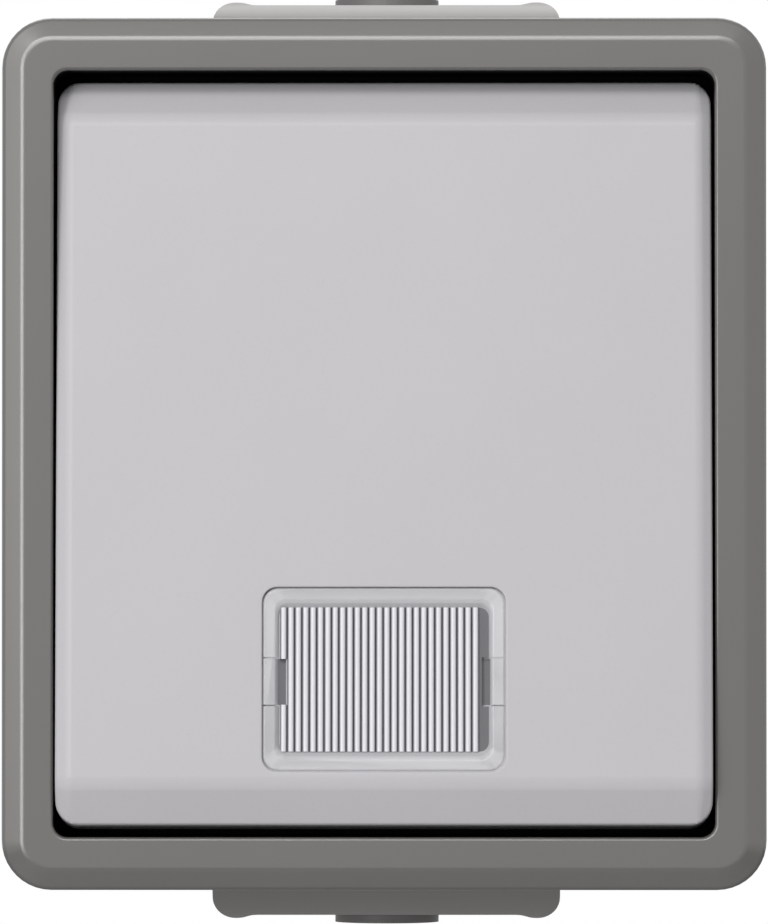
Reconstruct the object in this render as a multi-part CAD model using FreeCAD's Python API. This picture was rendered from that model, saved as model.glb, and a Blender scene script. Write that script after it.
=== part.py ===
import FreeCAD, Part
import math
import os

# Surface-mounting weatherproof rocker switch with a signal lamp behind a ribbed window.
# Millimetres. Each piece is modelled with x to the right, y up the wall and z out of it,
# from the middle of the box's back. At the end every piece is turned upright, so that z
# points up and the front faces -y.

# Cover frame
frame_width = 66.0
frame_height = 75.3
frame_corner_radius = 4.3
frame_border_side = 4.45
frame_border_end = 4.55
frame_rise = 13.5
frame_overlap = 2.5
frame_band_width = 1.8
frame_band_drop = 0.6
frame_crease_radius = 1.6
frame_edge_radius = 0.5
frame_skirt_wall = 1.4
frame_wall = 2.4
frame_front_wall = 2.0
reveal_wall = 1.25
opening_corner_radius = 1.25
opening_edge_radius = 0.3
ledge_width = 3.0
ledge_thickness = 1.7
lug_radius = 3.6

# Surface box
box_depth = 34.0
box_wall = 2.0
box_floor = 2.0
box_corner_radius = 3.0
frame_fit = 0.2
gasket_thickness = 1.2
fixing_inset = 6.5
fixing_slot_length = 6.0
fixing_slot_radius = 2.1

# Cable entry bosses, one at the top and one at the bottom
boss_half_width = 15.6
boss_reach = 5.0
boss_depth = 20.0
boss_shoulder_radius = 2.0
boss_ear_rise = 0.33
boss_ear_run = 2.0
boss_lip_depth = 13.6
boss_slope_bulge = 0.75
entry_height = 8.2
entry_bore_radius = 5.6
grommet_fit = 0.05
grommet_nose_radius = 4.7
grommet_nose_reach = 0.85
grommet_step = 0.8
grommet_flange_radius = 6.1
grommet_flange = 1.6
cable_radius = 4.0
grommet_membrane = 0.8

# Rocker: the rest position has its top pressed in
rocker_side_gap = 0.25
rocker_end_gap = 0.9
rocker_corner_radius = 1.9
rocker_setback = 2.0
rocker_bevel_run = 3.27
rocker_bevel_rise = 2.42
rocker_side_run = 1.1
rocker_side_rise = 0.7
rocker_crease_radius = 1.6
rocker_side_crease_radius = 1.0
rocker_edge_radius = 0.8
rocker_wall = 1.6
rocker_skirt_depth = 4.5
rocker_tilt = 4.0
hinge_setback = 2.0

# Window in the rocker. Its middle is this far above the rocker's lower end.
window_foot = 12.4
lens_width = 20.75
lens_height = 15.7
lens_corner_radius = 1.3
lens_flange_thickness = 0.9
lens_flange_width = 1.25
lens_body_corner_radius = 0.8
lens_pocket_depth = 0.6
lens_pocket_border_side = 1.0
lens_pocket_border_end = 0.95
lens_pocket_draft_side = 0.35
lens_pocket_draft_end = 0.7
lens_pocket_corner_radius = 1.0
lens_web = 0.9
lens_body_wall = 0.4
lens_depth = 2.9
lens_fit = 0.08
rib_count = 27
rib_pitch = 0.635
rib_height = 0.3
rib_shift = -0.38
tab_height = 4.1
tab_drop = 0.2
tab_slit = 0.15
tab_recess = 0.7
inlay_thickness = 0.5

# Rocker cradle, its trunnions and the plunger in its barrel
trunnion_radius = 1.5
trunnion_fit = 0.05
trunnion_length = 2.2
cradle_half_width = 7.9
cradle_half_height = 8.0
cradle_plate = 1.4
cradle_corner_radius = 1.0
cheek_thickness = 1.5
cheek_half_height = 3.0
cheek_drop = 1.7
barrel_radius = 3.4
barrel_clearance = 2.4
plunger_reach = 12.0
plunger_radius = 2.4
plunger_nose_radius = 1.4
plunger_nose_length = 1.7
plunger_body_length = 4.0
plunger_fit = 0.05
plunger_travel = 0.4
spring_radius = 1.75
spring_wire_radius = 0.22
spring_turns = 6
clip_half_width = 2.0
clip_thickness = 1.2
clip_hook = 0.65
clip_fit = 0.05

# Contact seesaw on its fulcrum
plunger_gap = 0.05
seesaw_tilt = 6.5
seesaw_rise = 2.45
seesaw_thickness = 1.0
seesaw_end_gap = 2.1
seesaw_half_width = 3.2
seesaw_cheek = 0.8
seesaw_cheek_half_height = 1.9
fulcrum_radius = 0.8
fulcrum_fit = 0.05
contact_inset = 1.7
contact_gap = 0.03
moving_rivet_radius = 1.5
moving_rivet_height = 0.9
rivet_dome_radius = 5.0
fixed_rivet_radius = 1.8

# Contact strips and their screw clamps
strip_drop = 2.8
strip_thickness = 0.8
strip_half_width = 2.1
pad_half_width = 2.4
terminal_inset = 4.5
terminal_y = 8.0
clamp_half_length = 2.5
clamp_half_width = 3.6
clamp_wall = 1.0
clamp_below = 3.0
clamp_above = 3.0
clamp_fit = 0.15
terminal_screw_radius = 1.6
terminal_head_radius = 2.8
terminal_head_height = 2.0
channel_fit = 0.1

# Moulded contact block and its cover
socket_post_gap = 2.0
socket_depth = 23.3
socket_corner_radius = 3.0
socket_clearance = 0.25
chamber_half_width = 5.0
chamber_lamp_gap = 0.2
insert_screw_inset = 3.7
insert_post_radius = 3.0
insert_flange = 4.0
cover_leg_margin = 0.8
cover_plate = 2.0
collar_half_width = 10.2
collar_half_height = 12.0
collar_wall = 2.0
collar_step = 1.2
collar_rise = 2.2
ear_half_height = 3.2
ear_top = 0.9
bearing_slot_half_width = 1.35
leg_half_width = 2.0
leg_thickness = 1.2
leg_length = 5.0
leg_hook = 0.6
leg_hook_height = 0.8
leg_inset = 4.4
leg_lamp_gap = 2.8

# Signal lamp
lamp_lead = 0.4
turret_half_width = 5.2
turret_half_height = 4.0
turret_wall = 1.0
turret_height = 3.7
holder_half_width = 4.1
holder_half_height = 2.9
holder_wall = 0.8
holder_flange = 1.0
holder_length = 11.0
lamp_radius = 1.9
lamp_length = 7.6
lamp_rise = 2.6
lamp_fit = 0.05
pin_spacing = 5.0
pin_radius = 0.5
pin_rise = 4.8
resistor_radius = 0.9
resistor_length = 3.6
tail_width = 1.8

# Screws and seal
screw_radius = 1.45
screw_fit = 0.05
screw_head_radius = 2.6
screw_head_height = 1.6
screw_head_edge = 0.6
screw_slot_width = 0.8
screw_slot_depth = 0.8
frame_screw_side_inset = 6.05
frame_screw_end_inset = 6.6
frame_screw_length = 16.0
insert_screw_tip_gap = 1.5
screw_post_radius = 3.3
seal_thickness = 0.8
seal_clearance = 0.6
seal_fit = 0.1
seal_sleeve = 0.4
seal_sleeve_lip = 0.8

# How far a cutting shape reaches past what it cuts
cut_margin = 1.0

# What follows from the sizes above
tilt_rad = math.radians(rocker_tilt)
seesaw_rad = math.radians(seesaw_tilt)
box_inset = frame_skirt_wall + frame_fit
box_width = frame_width - 2 * box_inset
box_height = frame_height - 2 * box_inset
opening_width = frame_width - 2 * frame_border_side
opening_height = frame_height - 2 * frame_border_end
frame_front = box_depth + frame_rise
frame_back = box_depth - frame_overlap
rocker_width = opening_width - 2 * rocker_side_gap
rocker_height = opening_height - 2 * rocker_end_gap
rocker_rim = frame_front - rocker_setback
rocker_face = rocker_rim + rocker_bevel_rise
rocker_ceiling = rocker_face - rocker_wall
window_drop = rocker_height / 2 - window_foot
fixing_spacing = box_width - 2 * fixing_inset
frame_screw_x = opening_width / 2 - frame_screw_side_inset
frame_screw_y = opening_height / 2 - frame_screw_end_inset
socket_width = 2 * (frame_screw_x - socket_post_gap)
socket_height = 2 * (frame_screw_y - socket_post_gap)
insert_screw_x = socket_width / 2 - insert_screw_inset
insert_screw_y = socket_height / 2 - insert_screw_inset
terminal_x = socket_width / 2 - terminal_inset
lower_leg_x = holder_half_width + channel_fit + leg_half_width + leg_lamp_gap
cover_half_width = lower_leg_x + leg_half_width + cover_leg_margin
leg_y = socket_height / 2 - leg_inset
lamp_drop = window_drop - lamp_lead
chamber_half_height = lamp_drop - holder_half_height - chamber_lamp_gap
seesaw_half_length = chamber_half_height - seesaw_end_gap
contact_arm = seesaw_half_length - contact_inset
rocker_skirt_end = rocker_rim - rocker_skirt_depth
hinge_z = rocker_rim - hinge_setback
skirt_lowest = (
    hinge_z
    - (hinge_z - rocker_skirt_end) * math.cos(tilt_rad)
    - rocker_height / 2 * math.sin(tilt_rad)
)
seal_bottom = skirt_lowest - seal_clearance - seal_thickness
ledge_bottom = seal_bottom - ledge_thickness
sleeve_top = frame_front - seal_sleeve_lip
plunger_tip = hinge_z - plunger_reach
seesaw_top = plunger_tip - plunger_gap
seesaw_bottom = seesaw_top - seesaw_thickness
fulcrum_z = seesaw_top - seesaw_rise
strip_top = fulcrum_z - strip_drop
strip_bottom = strip_top - strip_thickness
socket_top = (
    fulcrum_z
    + seesaw_rise * math.cos(seesaw_rad)
    + seesaw_half_length * math.sin(seesaw_rad)
    + socket_clearance
)
socket_bottom = socket_top - socket_depth
insert_screw_length = socket_bottom + insert_flange - box_floor - insert_screw_tip_gap
cover_top = socket_top + cover_plate
collar_top = seal_bottom + collar_rise
turret_top = cover_top + turret_height
cradle_bottom = rocker_ceiling - cradle_plate
barrel_end = plunger_tip + barrel_clearance
plunger_shoulder = plunger_tip + plunger_nose_radius + plunger_nose_length
lens_front = rocker_face
lens_body_width = lens_width - 2 * lens_flange_width
lens_body_height = lens_height - 2 * lens_flange_width
lens_pocket_floor = lens_front - lens_pocket_depth
lens_floor_width = lens_width - 2 * (lens_pocket_border_side + lens_pocket_draft_side)
lens_floor_height = lens_height - 2 * (lens_pocket_border_end + lens_pocket_draft_end)
lens_web_back = lens_pocket_floor - lens_web
rivet_centre_rise = seesaw_bottom - moving_rivet_height + rivet_dome_radius - fulcrum_z
contact_y = contact_arm * math.cos(seesaw_rad) + rivet_centre_rise * math.sin(seesaw_rad)
contact_z = (
    fulcrum_z
    + rivet_centre_rise * math.cos(seesaw_rad)
    - contact_arm * math.sin(seesaw_rad)
    - rivet_dome_radius
)


def at(x, y, z=0.0):
    return FreeCAD.Vector(x, y, z)


def rounded_rectangle(width, height, radius, z, x=0.0, y=0.0):
    """Closed outline of four quarter circles and the lines between, centred on x and y."""
    reach_x = width / 2 - radius
    reach_y = height / 2 - radius
    centres = [
        at(x + reach_x, y + reach_y, z),
        at(x - reach_x, y + reach_y, z),
        at(x - reach_x, y - reach_y, z),
        at(x + reach_x, y - reach_y, z),
    ]
    arcs = []
    for quarter, centre in enumerate(centres):
        circle = Part.Circle(centre, at(0, 0, 1), radius)
        start = quarter * math.pi / 2
        arcs.append(Part.Arc(circle, start, start + math.pi / 2).toShape())
    edges = []
    for quarter, arc in enumerate(arcs):
        following = arcs[(quarter + 1) % 4]
        edges.append(arc)
        end = arc.lastVertex().Point
        start = following.firstVertex().Point
        if not end.isEqual(start, Part.Precision.confusion()):
            edges.append(Part.makeLine(end, start))
    return Part.Wire(edges)


def prism(outline, depth):
    return Part.Face(outline).extrude(at(0, 0, depth))


def rounded_block(width, height, radius, low, high, x=0.0, y=0.0):
    return prism(rounded_rectangle(width, height, radius, low, x, y), high - low)


def block(low_x, high_x, low_y, high_y, low_z, high_z):
    corner = at(low_x, low_y, low_z)
    return Part.makeBox(high_x - low_x, high_y - low_y, high_z - low_z, corner)


def post(radius, low, high, x=0.0, y=0.0):
    return Part.makeCylinder(radius, high - low, at(x, y, low))


def cross_bar(radius, low_x, high_x, y, z):
    """Round bar along x."""
    return Part.makeCylinder(radius, high_x - low_x, at(low_x, y, z), at(1, 0, 0))


def plate(points, low, high):
    """Flat stamped piece with straight edges, from a list of corners."""
    corners = [at(x, y, low) for x, y in points]
    outline = Part.makePolygon(corners + corners[:1])
    return prism(outline, high - low)


def channel(points, low, high):
    """Room for a stamped piece, with the channel clearance all round."""
    corners = [at(x, y, low) for x, y in points]
    face = Part.Face(Part.makePolygon(corners + corners[:1]))
    return face.makeOffset2D(channel_fit, 2).extrude(at(0, 0, high - low))


def join(pieces):
    return pieces[0].multiFuse(pieces[1:]).removeSplitter()


def across(shape):
    """Mirror image to the other side of the middle, left to right."""
    return shape.mirror(at(0, 0, 0), at(1, 0, 0))


def upside_down(shape):
    """Mirror image from the upper half to the lower half."""
    return shape.mirror(at(0, 0, 0), at(0, 1, 0))


def edges_at(shape, height):
    """Edges that lie in the plane at this height."""
    found = []
    for edge in shape.Edges:
        if all(abs(v.Z - height) < 1e-5 for v in edge.Vertexes):
            if abs(edge.CenterOfMass.z - height) < 1e-5:
                found.append(edge)
    return found


def turned(shape, angle, z):
    """Copy turned about the line along x at this height, in degrees."""
    copy = shape.copy()
    copy.rotate(at(0, 0, z), at(1, 0, 0), angle)
    return copy


def slotted_screw(radius, head_radius, head_height, length, x, y, seat):
    """Screw driven towards the wall, its head standing on the seat."""
    shank = post(radius, seat - length, seat, x, y)
    head = post(head_radius, seat, seat + head_height, x, y)
    head = head.makeFillet(screw_head_edge, edges_at(head, seat + head_height))
    slot = block(
        x - head_radius,
        x + head_radius,
        y - screw_slot_width / 2,
        y + screw_slot_width / 2,
        seat + head_height - screw_slot_depth,
        seat + head_height,
    )
    return join([shank, head]).cut(slot)


def boss_outline(low):
    """Outline of the upper entry boss: straight sides, round shoulders, two raised ears."""
    lip_y = box_height / 2 + boss_reach
    ear_y = lip_y + boss_ear_rise
    root_y = box_height / 2 - box_wall / 2
    shoulder_y = ear_y - boss_shoulder_radius
    ear_x = boss_half_width - boss_shoulder_radius
    flat_x = ear_x - boss_ear_run
    corner = boss_shoulder_radius * math.sqrt(0.5)
    half = []
    half.append(Part.makeLine(at(boss_half_width, root_y, low), at(boss_half_width, shoulder_y, low)))
    half.append(
        Part.Arc(
            at(boss_half_width, shoulder_y, low),
            at(ear_x + corner, shoulder_y + corner, low),
            at(ear_x, ear_y, low),
        ).toShape()
    )
    fall = Part.BezierCurve()
    fall.setPoles(
        [
            at(ear_x, ear_y, low),
            at(ear_x - boss_ear_run / 2, ear_y, low),
            at(ear_x - boss_ear_run / 2, lip_y, low),
            at(flat_x, lip_y, low),
        ]
    )
    half.append(fall.toShape())
    other = [across(edge) for edge in half]
    lip = Part.makeLine(at(flat_x, lip_y, low), at(-flat_x, lip_y, low))
    root = Part.makeLine(at(-boss_half_width, root_y, low), at(boss_half_width, root_y, low))
    return Part.Wire(Part.__sortEdges__(half + [lip] + other + [root]))


def make_boss():
    """Upper entry boss. Its front falls away in a shallow curve towards the lip."""
    body = prism(boss_outline(0.0), boss_depth)
    lip_y = box_height / 2 + boss_reach + boss_ear_rise
    wall_y = box_height / 2
    middle_y = (lip_y + wall_y) / 2 + boss_slope_bulge
    middle_z = (boss_lip_depth + boss_depth) / 2 + boss_slope_bulge
    slope = Part.Arc(
        at(0, lip_y, boss_lip_depth), at(0, middle_y, middle_z), at(0, wall_y, boss_depth)
    ).toShape()
    beyond = Part.makePolygon(
        [
            at(0, wall_y, boss_depth),
            at(0, wall_y, boss_depth + boss_reach),
            at(0, lip_y + boss_reach, boss_depth + boss_reach),
            at(0, lip_y + boss_reach, boss_lip_depth),
            at(0, lip_y, boss_lip_depth),
        ]
    )
    cutter = Part.Face(Part.Wire([slope] + beyond.Edges))
    cutter.translate(at(-2 * boss_half_width, 0, 0))
    return body.cut(cutter.extrude(at(4 * boss_half_width, 0, 0)))


def entry_bar(radius, low_y, high_y):
    """Round bar along y through the upper cable entry."""
    return Part.makeCylinder(radius, high_y - low_y, at(0, low_y, entry_height), at(0, 1, 0))


def make_base_box():
    inner_width = box_width - 2 * box_wall
    inner_height = box_height - 2 * box_wall
    outside = rounded_block(box_width, box_height, box_corner_radius, 0, box_depth)
    outside = outside.makeFillet(box_wall / 2, edges_at(outside, 0))
    boss = make_boss()
    body = join([outside, boss, upside_down(boss)])
    inner_radius = max(box_corner_radius - box_wall, box_wall / 4)
    body = body.cut(rounded_block(inner_width, inner_height, inner_radius, box_floor, box_depth))
    posts = []
    for x, y in four_corners(insert_screw_x, insert_screw_y):
        posts.append(post(insert_post_radius, box_floor / 2, socket_bottom, x, y))
    for x, y in frame_screw_places():
        posts.append(post(screw_post_radius, box_floor / 2, ledge_bottom, x, y))
    body = join([body] + posts)
    bore = screw_radius + screw_fit
    cuts = []
    for x, y in insert_screw_places():
        cuts.append(post(bore, box_floor, socket_bottom, x, y))
    for x, y in frame_screw_places():
        cuts.append(post(bore, ledge_bottom - frame_screw_length, ledge_bottom, x, y))
    entry = entry_bar(entry_bore_radius, inner_height / 2 - box_wall, box_height / 2 + 2 * boss_reach)
    cuts.append(entry)
    cuts.append(upside_down(entry))
    for side in (-1, 1):
        cuts.append(
            rounded_block(
                fixing_slot_length,
                2 * fixing_slot_radius,
                fixing_slot_radius,
                -box_floor,
                2 * box_floor,
                side * fixing_spacing / 2,
            )
        )
    return body.cut(cuts)


def four_corners(x, y):
    return [(x, y), (-x, y), (-x, -y), (x, -y)]


def insert_screw_places():
    return [(-insert_screw_x, insert_screw_y), (insert_screw_x, -insert_screw_y)]


def frame_screw_places():
    return [(frame_screw_x, frame_screw_y), (-frame_screw_x, -frame_screw_y)]


def frame_outline(inset, z):
    radius = frame_corner_radius - inset
    return rounded_rectangle(frame_width - 2 * inset, frame_height - 2 * inset, radius, z)


def sleeve_block(low):
    """What the seal's sleeve fills of the frame's opening, with the opening itself."""
    return rounded_block(
        opening_width + 2 * seal_sleeve,
        opening_height + 2 * seal_sleeve,
        opening_corner_radius + seal_sleeve,
        low,
        sleeve_top,
    )


def make_cover_frame():
    """Hollow moulding: sloped outer band, flat inner band, reveal wall and inner ledge."""
    shoulder = frame_front - frame_band_drop
    body = prism(frame_outline(0, frame_back), shoulder - frame_back)
    band = Part.makeLoft(
        [frame_outline(0, shoulder), frame_outline(frame_band_width, frame_front)], True, True
    )
    body = join([body, band])
    body = body.makeFillet(frame_crease_radius, edges_at(body, frame_front))
    body = body.makeFillet(frame_edge_radius, edges_at(body, shoulder))
    box_room = rounded_block(
        box_width + 2 * frame_fit,
        box_height + 2 * frame_fit,
        box_corner_radius,
        frame_back,
        box_depth + gasket_thickness,
    )
    reveal_outer = rounded_block(
        opening_width + 2 * reveal_wall,
        opening_height + 2 * reveal_wall,
        opening_corner_radius,
        ledge_bottom,
        frame_front,
    )
    hollow = prism(frame_outline(frame_wall, frame_back), frame_front - frame_front_wall - frame_back)
    opening = rounded_block(
        opening_width, opening_height, opening_corner_radius, seal_bottom, frame_front
    )
    ledge_opening = rounded_block(
        opening_width - 2 * ledge_width,
        opening_height - 2 * ledge_width,
        opening_corner_radius,
        ledge_bottom,
        frame_front,
    )
    body = body.cut([box_room, hollow.cut(reveal_outer), opening, ledge_opening])
    reach_x = opening_width / 2 + opening_edge_radius
    reach_y = opening_height / 2 + opening_edge_radius
    rim = [e for e in edges_at(body, frame_front) if abs(e.CenterOfMass.x) < reach_x]
    rim = [e for e in rim if abs(e.CenterOfMass.y) < reach_y]
    body = body.makeFillet(opening_edge_radius, rim)
    body = body.cut(sleeve_block(seal_bottom))
    corner_x = opening_width / 2 - ledge_width / 2
    corner_y = opening_height / 2 - ledge_width / 2
    lugs = []
    for x, y in frame_screw_places():
        side = 1 if x > 0 else -1
        lug = join(
            [
                post(lug_radius, ledge_bottom, seal_bottom, frame_screw_x, frame_screw_y),
                block(
                    frame_screw_x,
                    corner_x,
                    frame_screw_y - lug_radius,
                    corner_y,
                    ledge_bottom,
                    seal_bottom,
                ),
                block(
                    frame_screw_x - lug_radius,
                    corner_x,
                    frame_screw_y,
                    corner_y,
                    ledge_bottom,
                    seal_bottom,
                ),
            ]
        )
        lugs.append(lug if side > 0 else across(upside_down(lug)))
    body = join([body] + lugs)
    holes = []
    for x, y in frame_screw_places():
        holes.append(post(screw_radius + screw_fit, ledge_bottom, seal_bottom, x, y))
    return body.cut(holes)


def rounded_path(points, radii):
    """Straight runs through the points, with an arc of its own radius at each inner point."""
    edges = []
    start = points[0]
    for index, radius in enumerate(radii):
        corner = points[index + 1]
        back = (points[index] - corner).normalize()
        onward = (points[index + 2] - corner).normalize()
        half = back.getAngle(onward) / 2
        run = radius / math.tan(half)
        middle = (back + onward).normalize() * (radius / math.sin(half) - radius)
        edges.append(Part.makeLine(start, corner + back * run))
        arc = Part.Arc(corner + back * run, corner + middle, corner + onward * run)
        edges.append(arc.toShape())
        start = corner + onward * run
    edges.append(Part.makeLine(start, points[-1]))
    return edges


def crown_points(inset, beyond):
    """Right half of the rocker's end profile: past the rim, then the foot of the flat face."""
    half_height = rocker_height / 2 - inset
    slope = rocker_bevel_rise / rocker_bevel_run
    return [
        at(0, half_height + beyond, rocker_rim - beyond * slope),
        at(0, half_height - rocker_bevel_run, rocker_face - inset),
    ]


def side_points(inset, y, shift, low):
    """Right half of the rocker's side profile: skirt, rim and the foot of the flat face."""
    half_width = rocker_width / 2 - inset
    return [
        at(half_width, y, low + shift),
        at(half_width, y, rocker_face - rocker_side_rise - inset + shift),
        at(half_width - rocker_side_run, y, rocker_face - inset + shift),
    ]


def there_and_back(points, flip):
    """The points, then their mirror images in reverse order."""
    return points + [at(flip[0] * p.x, flip[1] * p.y, p.z) for p in reversed(points)]


def rocker_outside():
    """The side profile carried along the end profile, inside the rocker's rounded outline."""
    path_points = there_and_back(crown_points(0, rocker_setback), (1, -1))
    path = Part.Wire(rounded_path(path_points, [rocker_crease_radius] * 2))
    first = path_points[0]
    shift = first.z - rocker_face
    low = rocker_skirt_end - 2 * rocker_bevel_rise
    profile_points = there_and_back(side_points(0, first.y, shift, low), (-1, 1))
    radii = [rocker_edge_radius, rocker_side_crease_radius]
    profile = rounded_path(profile_points, radii + radii[::-1])
    profile.append(Part.makeLine(profile_points[-1], profile_points[0]))
    sweep = Part.BRepOffsetAPI.MakePipeShell(path)
    sweep.setTrihedronMode(at(0, 0, 0), at(1, 0, 0))
    sweep.add(Part.Wire(profile), False, False)
    sweep.build()
    sweep.makeSolid()
    outline = rounded_block(
        rocker_width, rocker_height, rocker_corner_radius, rocker_skirt_end, rocker_face + cut_margin
    )
    form = sweep.shape().common(outline).Solids[0]
    end = end_rim_cutter()
    return form.cut([end, upside_down(end)])


def end_rim_cutter():
    """What is cut away to round the rim between the bevel and the end wall."""
    rim = at(0, rocker_height / 2, rocker_rim)
    foot = crown_points(0, 0)[1]
    low = at(0, rocker_height / 2, rocker_skirt_end)
    line, arc, wall = rounded_path([foot, rim, low], [rocker_edge_radius])
    outer = rim + at(0, rocker_edge_radius, rocker_edge_radius)
    first = arc.firstVertex().Point
    last = arc.lastVertex().Point
    above = first + at(0, 0, rocker_edge_radius)
    beside = last + at(0, rocker_edge_radius, 0)
    edges = [arc]
    for start, end in ((last, beside), (beside, outer), (outer, above), (above, first)):
        edges.append(Part.makeLine(start, end))
    face = Part.Face(Part.Wire(edges))
    face.translate(at(-rocker_width, 0, 0))
    return face.extrude(at(2 * rocker_width, 0, 0))


def rocker_inside():
    """The rocker's hollow, one wall in from the outside, with plain edges."""
    ends = there_and_back(
        [at(0, rocker_height / 2 - rocker_wall, rocker_skirt_end)] + crown_points(rocker_wall, 0),
        (1, -1),
    )
    end_face = Part.Face(Part.makePolygon(ends + ends[:1]))
    end_face.translate(at(-rocker_width, 0, 0))
    sides = there_and_back(side_points(rocker_wall, 0, 0, rocker_skirt_end), (-1, 1))
    side_face = Part.Face(Part.makePolygon(sides + sides[:1]))
    side_face.translate(at(0, -rocker_height, 0))
    lengthwise = side_face.extrude(at(0, 2 * rocker_height, 0))
    return end_face.extrude(at(2 * rocker_width, 0, 0)).common(lengthwise)


def make_rocker():
    shell = rocker_outside().cut(rocker_inside())
    rebate = rounded_block(
        lens_width + 2 * lens_fit,
        lens_height + 2 * lens_fit,
        lens_corner_radius,
        lens_front - lens_flange_thickness,
        rocker_face + cut_margin,
        0,
        -window_drop,
    )
    window = rounded_block(
        lens_body_width + 2 * lens_fit,
        lens_body_height + 2 * lens_fit,
        lens_body_corner_radius,
        rocker_ceiling - rocker_wall,
        rocker_face + cut_margin,
        0,
        -window_drop,
    )
    shell = shell.cut([rebate, window])
    inner = cradle_half_height + clip_fit
    clip = join(
        [
            block(
                -clip_half_width,
                clip_half_width,
                inner,
                inner + clip_thickness,
                cradle_bottom - clip_thickness,
                rocker_ceiling + rocker_wall / 2,
            ),
            block(
                -clip_half_width,
                clip_half_width,
                inner - clip_hook,
                inner + clip_thickness / 2,
                cradle_bottom - clip_thickness,
                cradle_bottom - clip_fit,
            ),
        ]
    )
    return join([shell, clip, upside_down(clip)])


def make_window_lens():
    """Clear lens: flush flange, body in the rocker's window, ribbed field, two snap tabs."""
    flange = rounded_block(
        lens_width, lens_height, lens_corner_radius, lens_front - lens_flange_thickness, lens_front
    )
    body = rounded_block(
        lens_body_width,
        lens_body_height,
        lens_body_corner_radius,
        lens_front - lens_depth,
        lens_front,
    )
    pocket = Part.makeLoft(
        [
            rounded_rectangle(
                lens_floor_width,
                lens_floor_height,
                lens_body_corner_radius,
                lens_pocket_floor,
            ),
            rounded_rectangle(
                lens_width - 2 * lens_pocket_border_side,
                lens_height - 2 * lens_pocket_border_end,
                lens_pocket_corner_radius,
                lens_front,
            ),
        ],
        True,
        True,
    )
    back = rounded_block(
        lens_body_width - 2 * lens_body_wall,
        lens_body_height - 2 * lens_body_wall,
        lens_body_corner_radius / 2,
        lens_front - lens_depth,
        lens_web_back,
    )
    lens = join([flange, body]).cut([pocket, back])
    start = -rib_count * rib_pitch / 2 + rib_shift
    edges = []
    for index in range(rib_count):
        left = start + index * rib_pitch
        edges.append(
            Part.Arc(
                at(left, 0, lens_pocket_floor),
                at(left + rib_pitch / 2, 0, lens_pocket_floor + rib_height),
                at(left + rib_pitch, 0, lens_pocket_floor),
            ).toShape()
        )
    root = lens_pocket_floor - lens_web / 2
    end = start + rib_count * rib_pitch
    edges.append(Part.makeLine(at(end, 0, lens_pocket_floor), at(end, 0, root)))
    edges.append(Part.makeLine(at(end, 0, root), at(start, 0, root)))
    edges.append(Part.makeLine(at(start, 0, root), at(start, 0, lens_pocket_floor)))
    ribs = Part.Face(Part.Wire(edges)).extrude(at(0, lens_floor_height, 0))
    ribs.translate(at(0, -lens_floor_height / 2, 0))
    lens = join([lens, ribs])
    tab_low = -tab_drop - tab_height / 2
    tab_high = -tab_drop + tab_height / 2
    cuts = []
    for side in (-1, 1):
        outer_x = side * lens_width / 2
        inner_x = side * (lens_body_width / 2 - tab_recess)
        low_x = min(outer_x, inner_x)
        high_x = max(outer_x, inner_x)
        for end_y in (tab_low, tab_high):
            cuts.append(
                block(
                    low_x,
                    high_x,
                    end_y - tab_slit / 2,
                    end_y + tab_slit / 2,
                    lens_front - lens_flange_thickness / 2,
                    lens_front,
                )
            )
        low_x = min(side * lens_body_width / 2, inner_x)
        high_x = max(side * lens_body_width / 2, inner_x)
        cuts.append(
            block(
                low_x,
                high_x,
                tab_low,
                tab_high,
                lens_pocket_floor - lens_web / 2,
                lens_front,
            )
        )
    lens = lens.cut(cuts)
    lens.translate(at(0, -window_drop, 0))
    return lens


def make_label_inlay():
    return rounded_block(
        lens_body_width - 2 * lens_body_wall - 2 * lens_fit,
        lens_body_height - 2 * lens_body_wall - 2 * lens_fit,
        lens_body_corner_radius / 2,
        lens_web_back - inlay_thickness,
        lens_web_back,
        0,
        -window_drop,
    )


def make_rocker_cradle():
    """Plate under the rocker with two cheeks, their trunnions and the plunger barrel."""
    pieces = [
        rounded_block(
            2 * cradle_half_width,
            2 * cradle_half_height,
            cradle_corner_radius,
            cradle_bottom,
            rocker_ceiling,
        ),
        post(barrel_radius, barrel_end, cradle_bottom + cradle_plate / 2),
    ]
    for side in (-1, 1):
        face_x = side * cradle_half_width
        inner_x = face_x - side * cheek_thickness
        pieces.append(
            block(
                min(face_x, inner_x),
                max(face_x, inner_x),
                -cheek_half_height,
                cheek_half_height,
                hinge_z - cheek_drop,
                cradle_bottom + cradle_plate / 2,
            )
        )
        end_x = face_x + side * trunnion_length
        pieces.append(
            cross_bar(trunnion_radius, min(inner_x, end_x), max(inner_x, end_x), 0, hinge_z)
        )
    cradle = join(pieces)
    bore = post(plunger_radius + plunger_fit, plunger_shoulder, rocker_ceiling)
    mouth = post(plunger_nose_radius + plunger_fit, barrel_end, plunger_shoulder)
    return cradle.cut([bore, mouth])


def make_plunger():
    """Round pin: spherical nose, shoulder that stops on the barrel's lip, spring spigot."""
    tip_centre = plunger_tip + plunger_nose_radius
    nose = Part.makeSphere(plunger_nose_radius, at(0, 0, tip_centre))
    neck = post(plunger_nose_radius, tip_centre, plunger_shoulder)
    body = post(plunger_radius, plunger_shoulder, plunger_shoulder + plunger_body_length)
    spigot_radius = spring_radius - 2 * spring_wire_radius
    spigot_base = plunger_shoulder + plunger_body_length
    spigot = post(spigot_radius, spigot_base, spigot_base + spigot_radius)
    return join([nose, neck, body, spigot])


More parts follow.
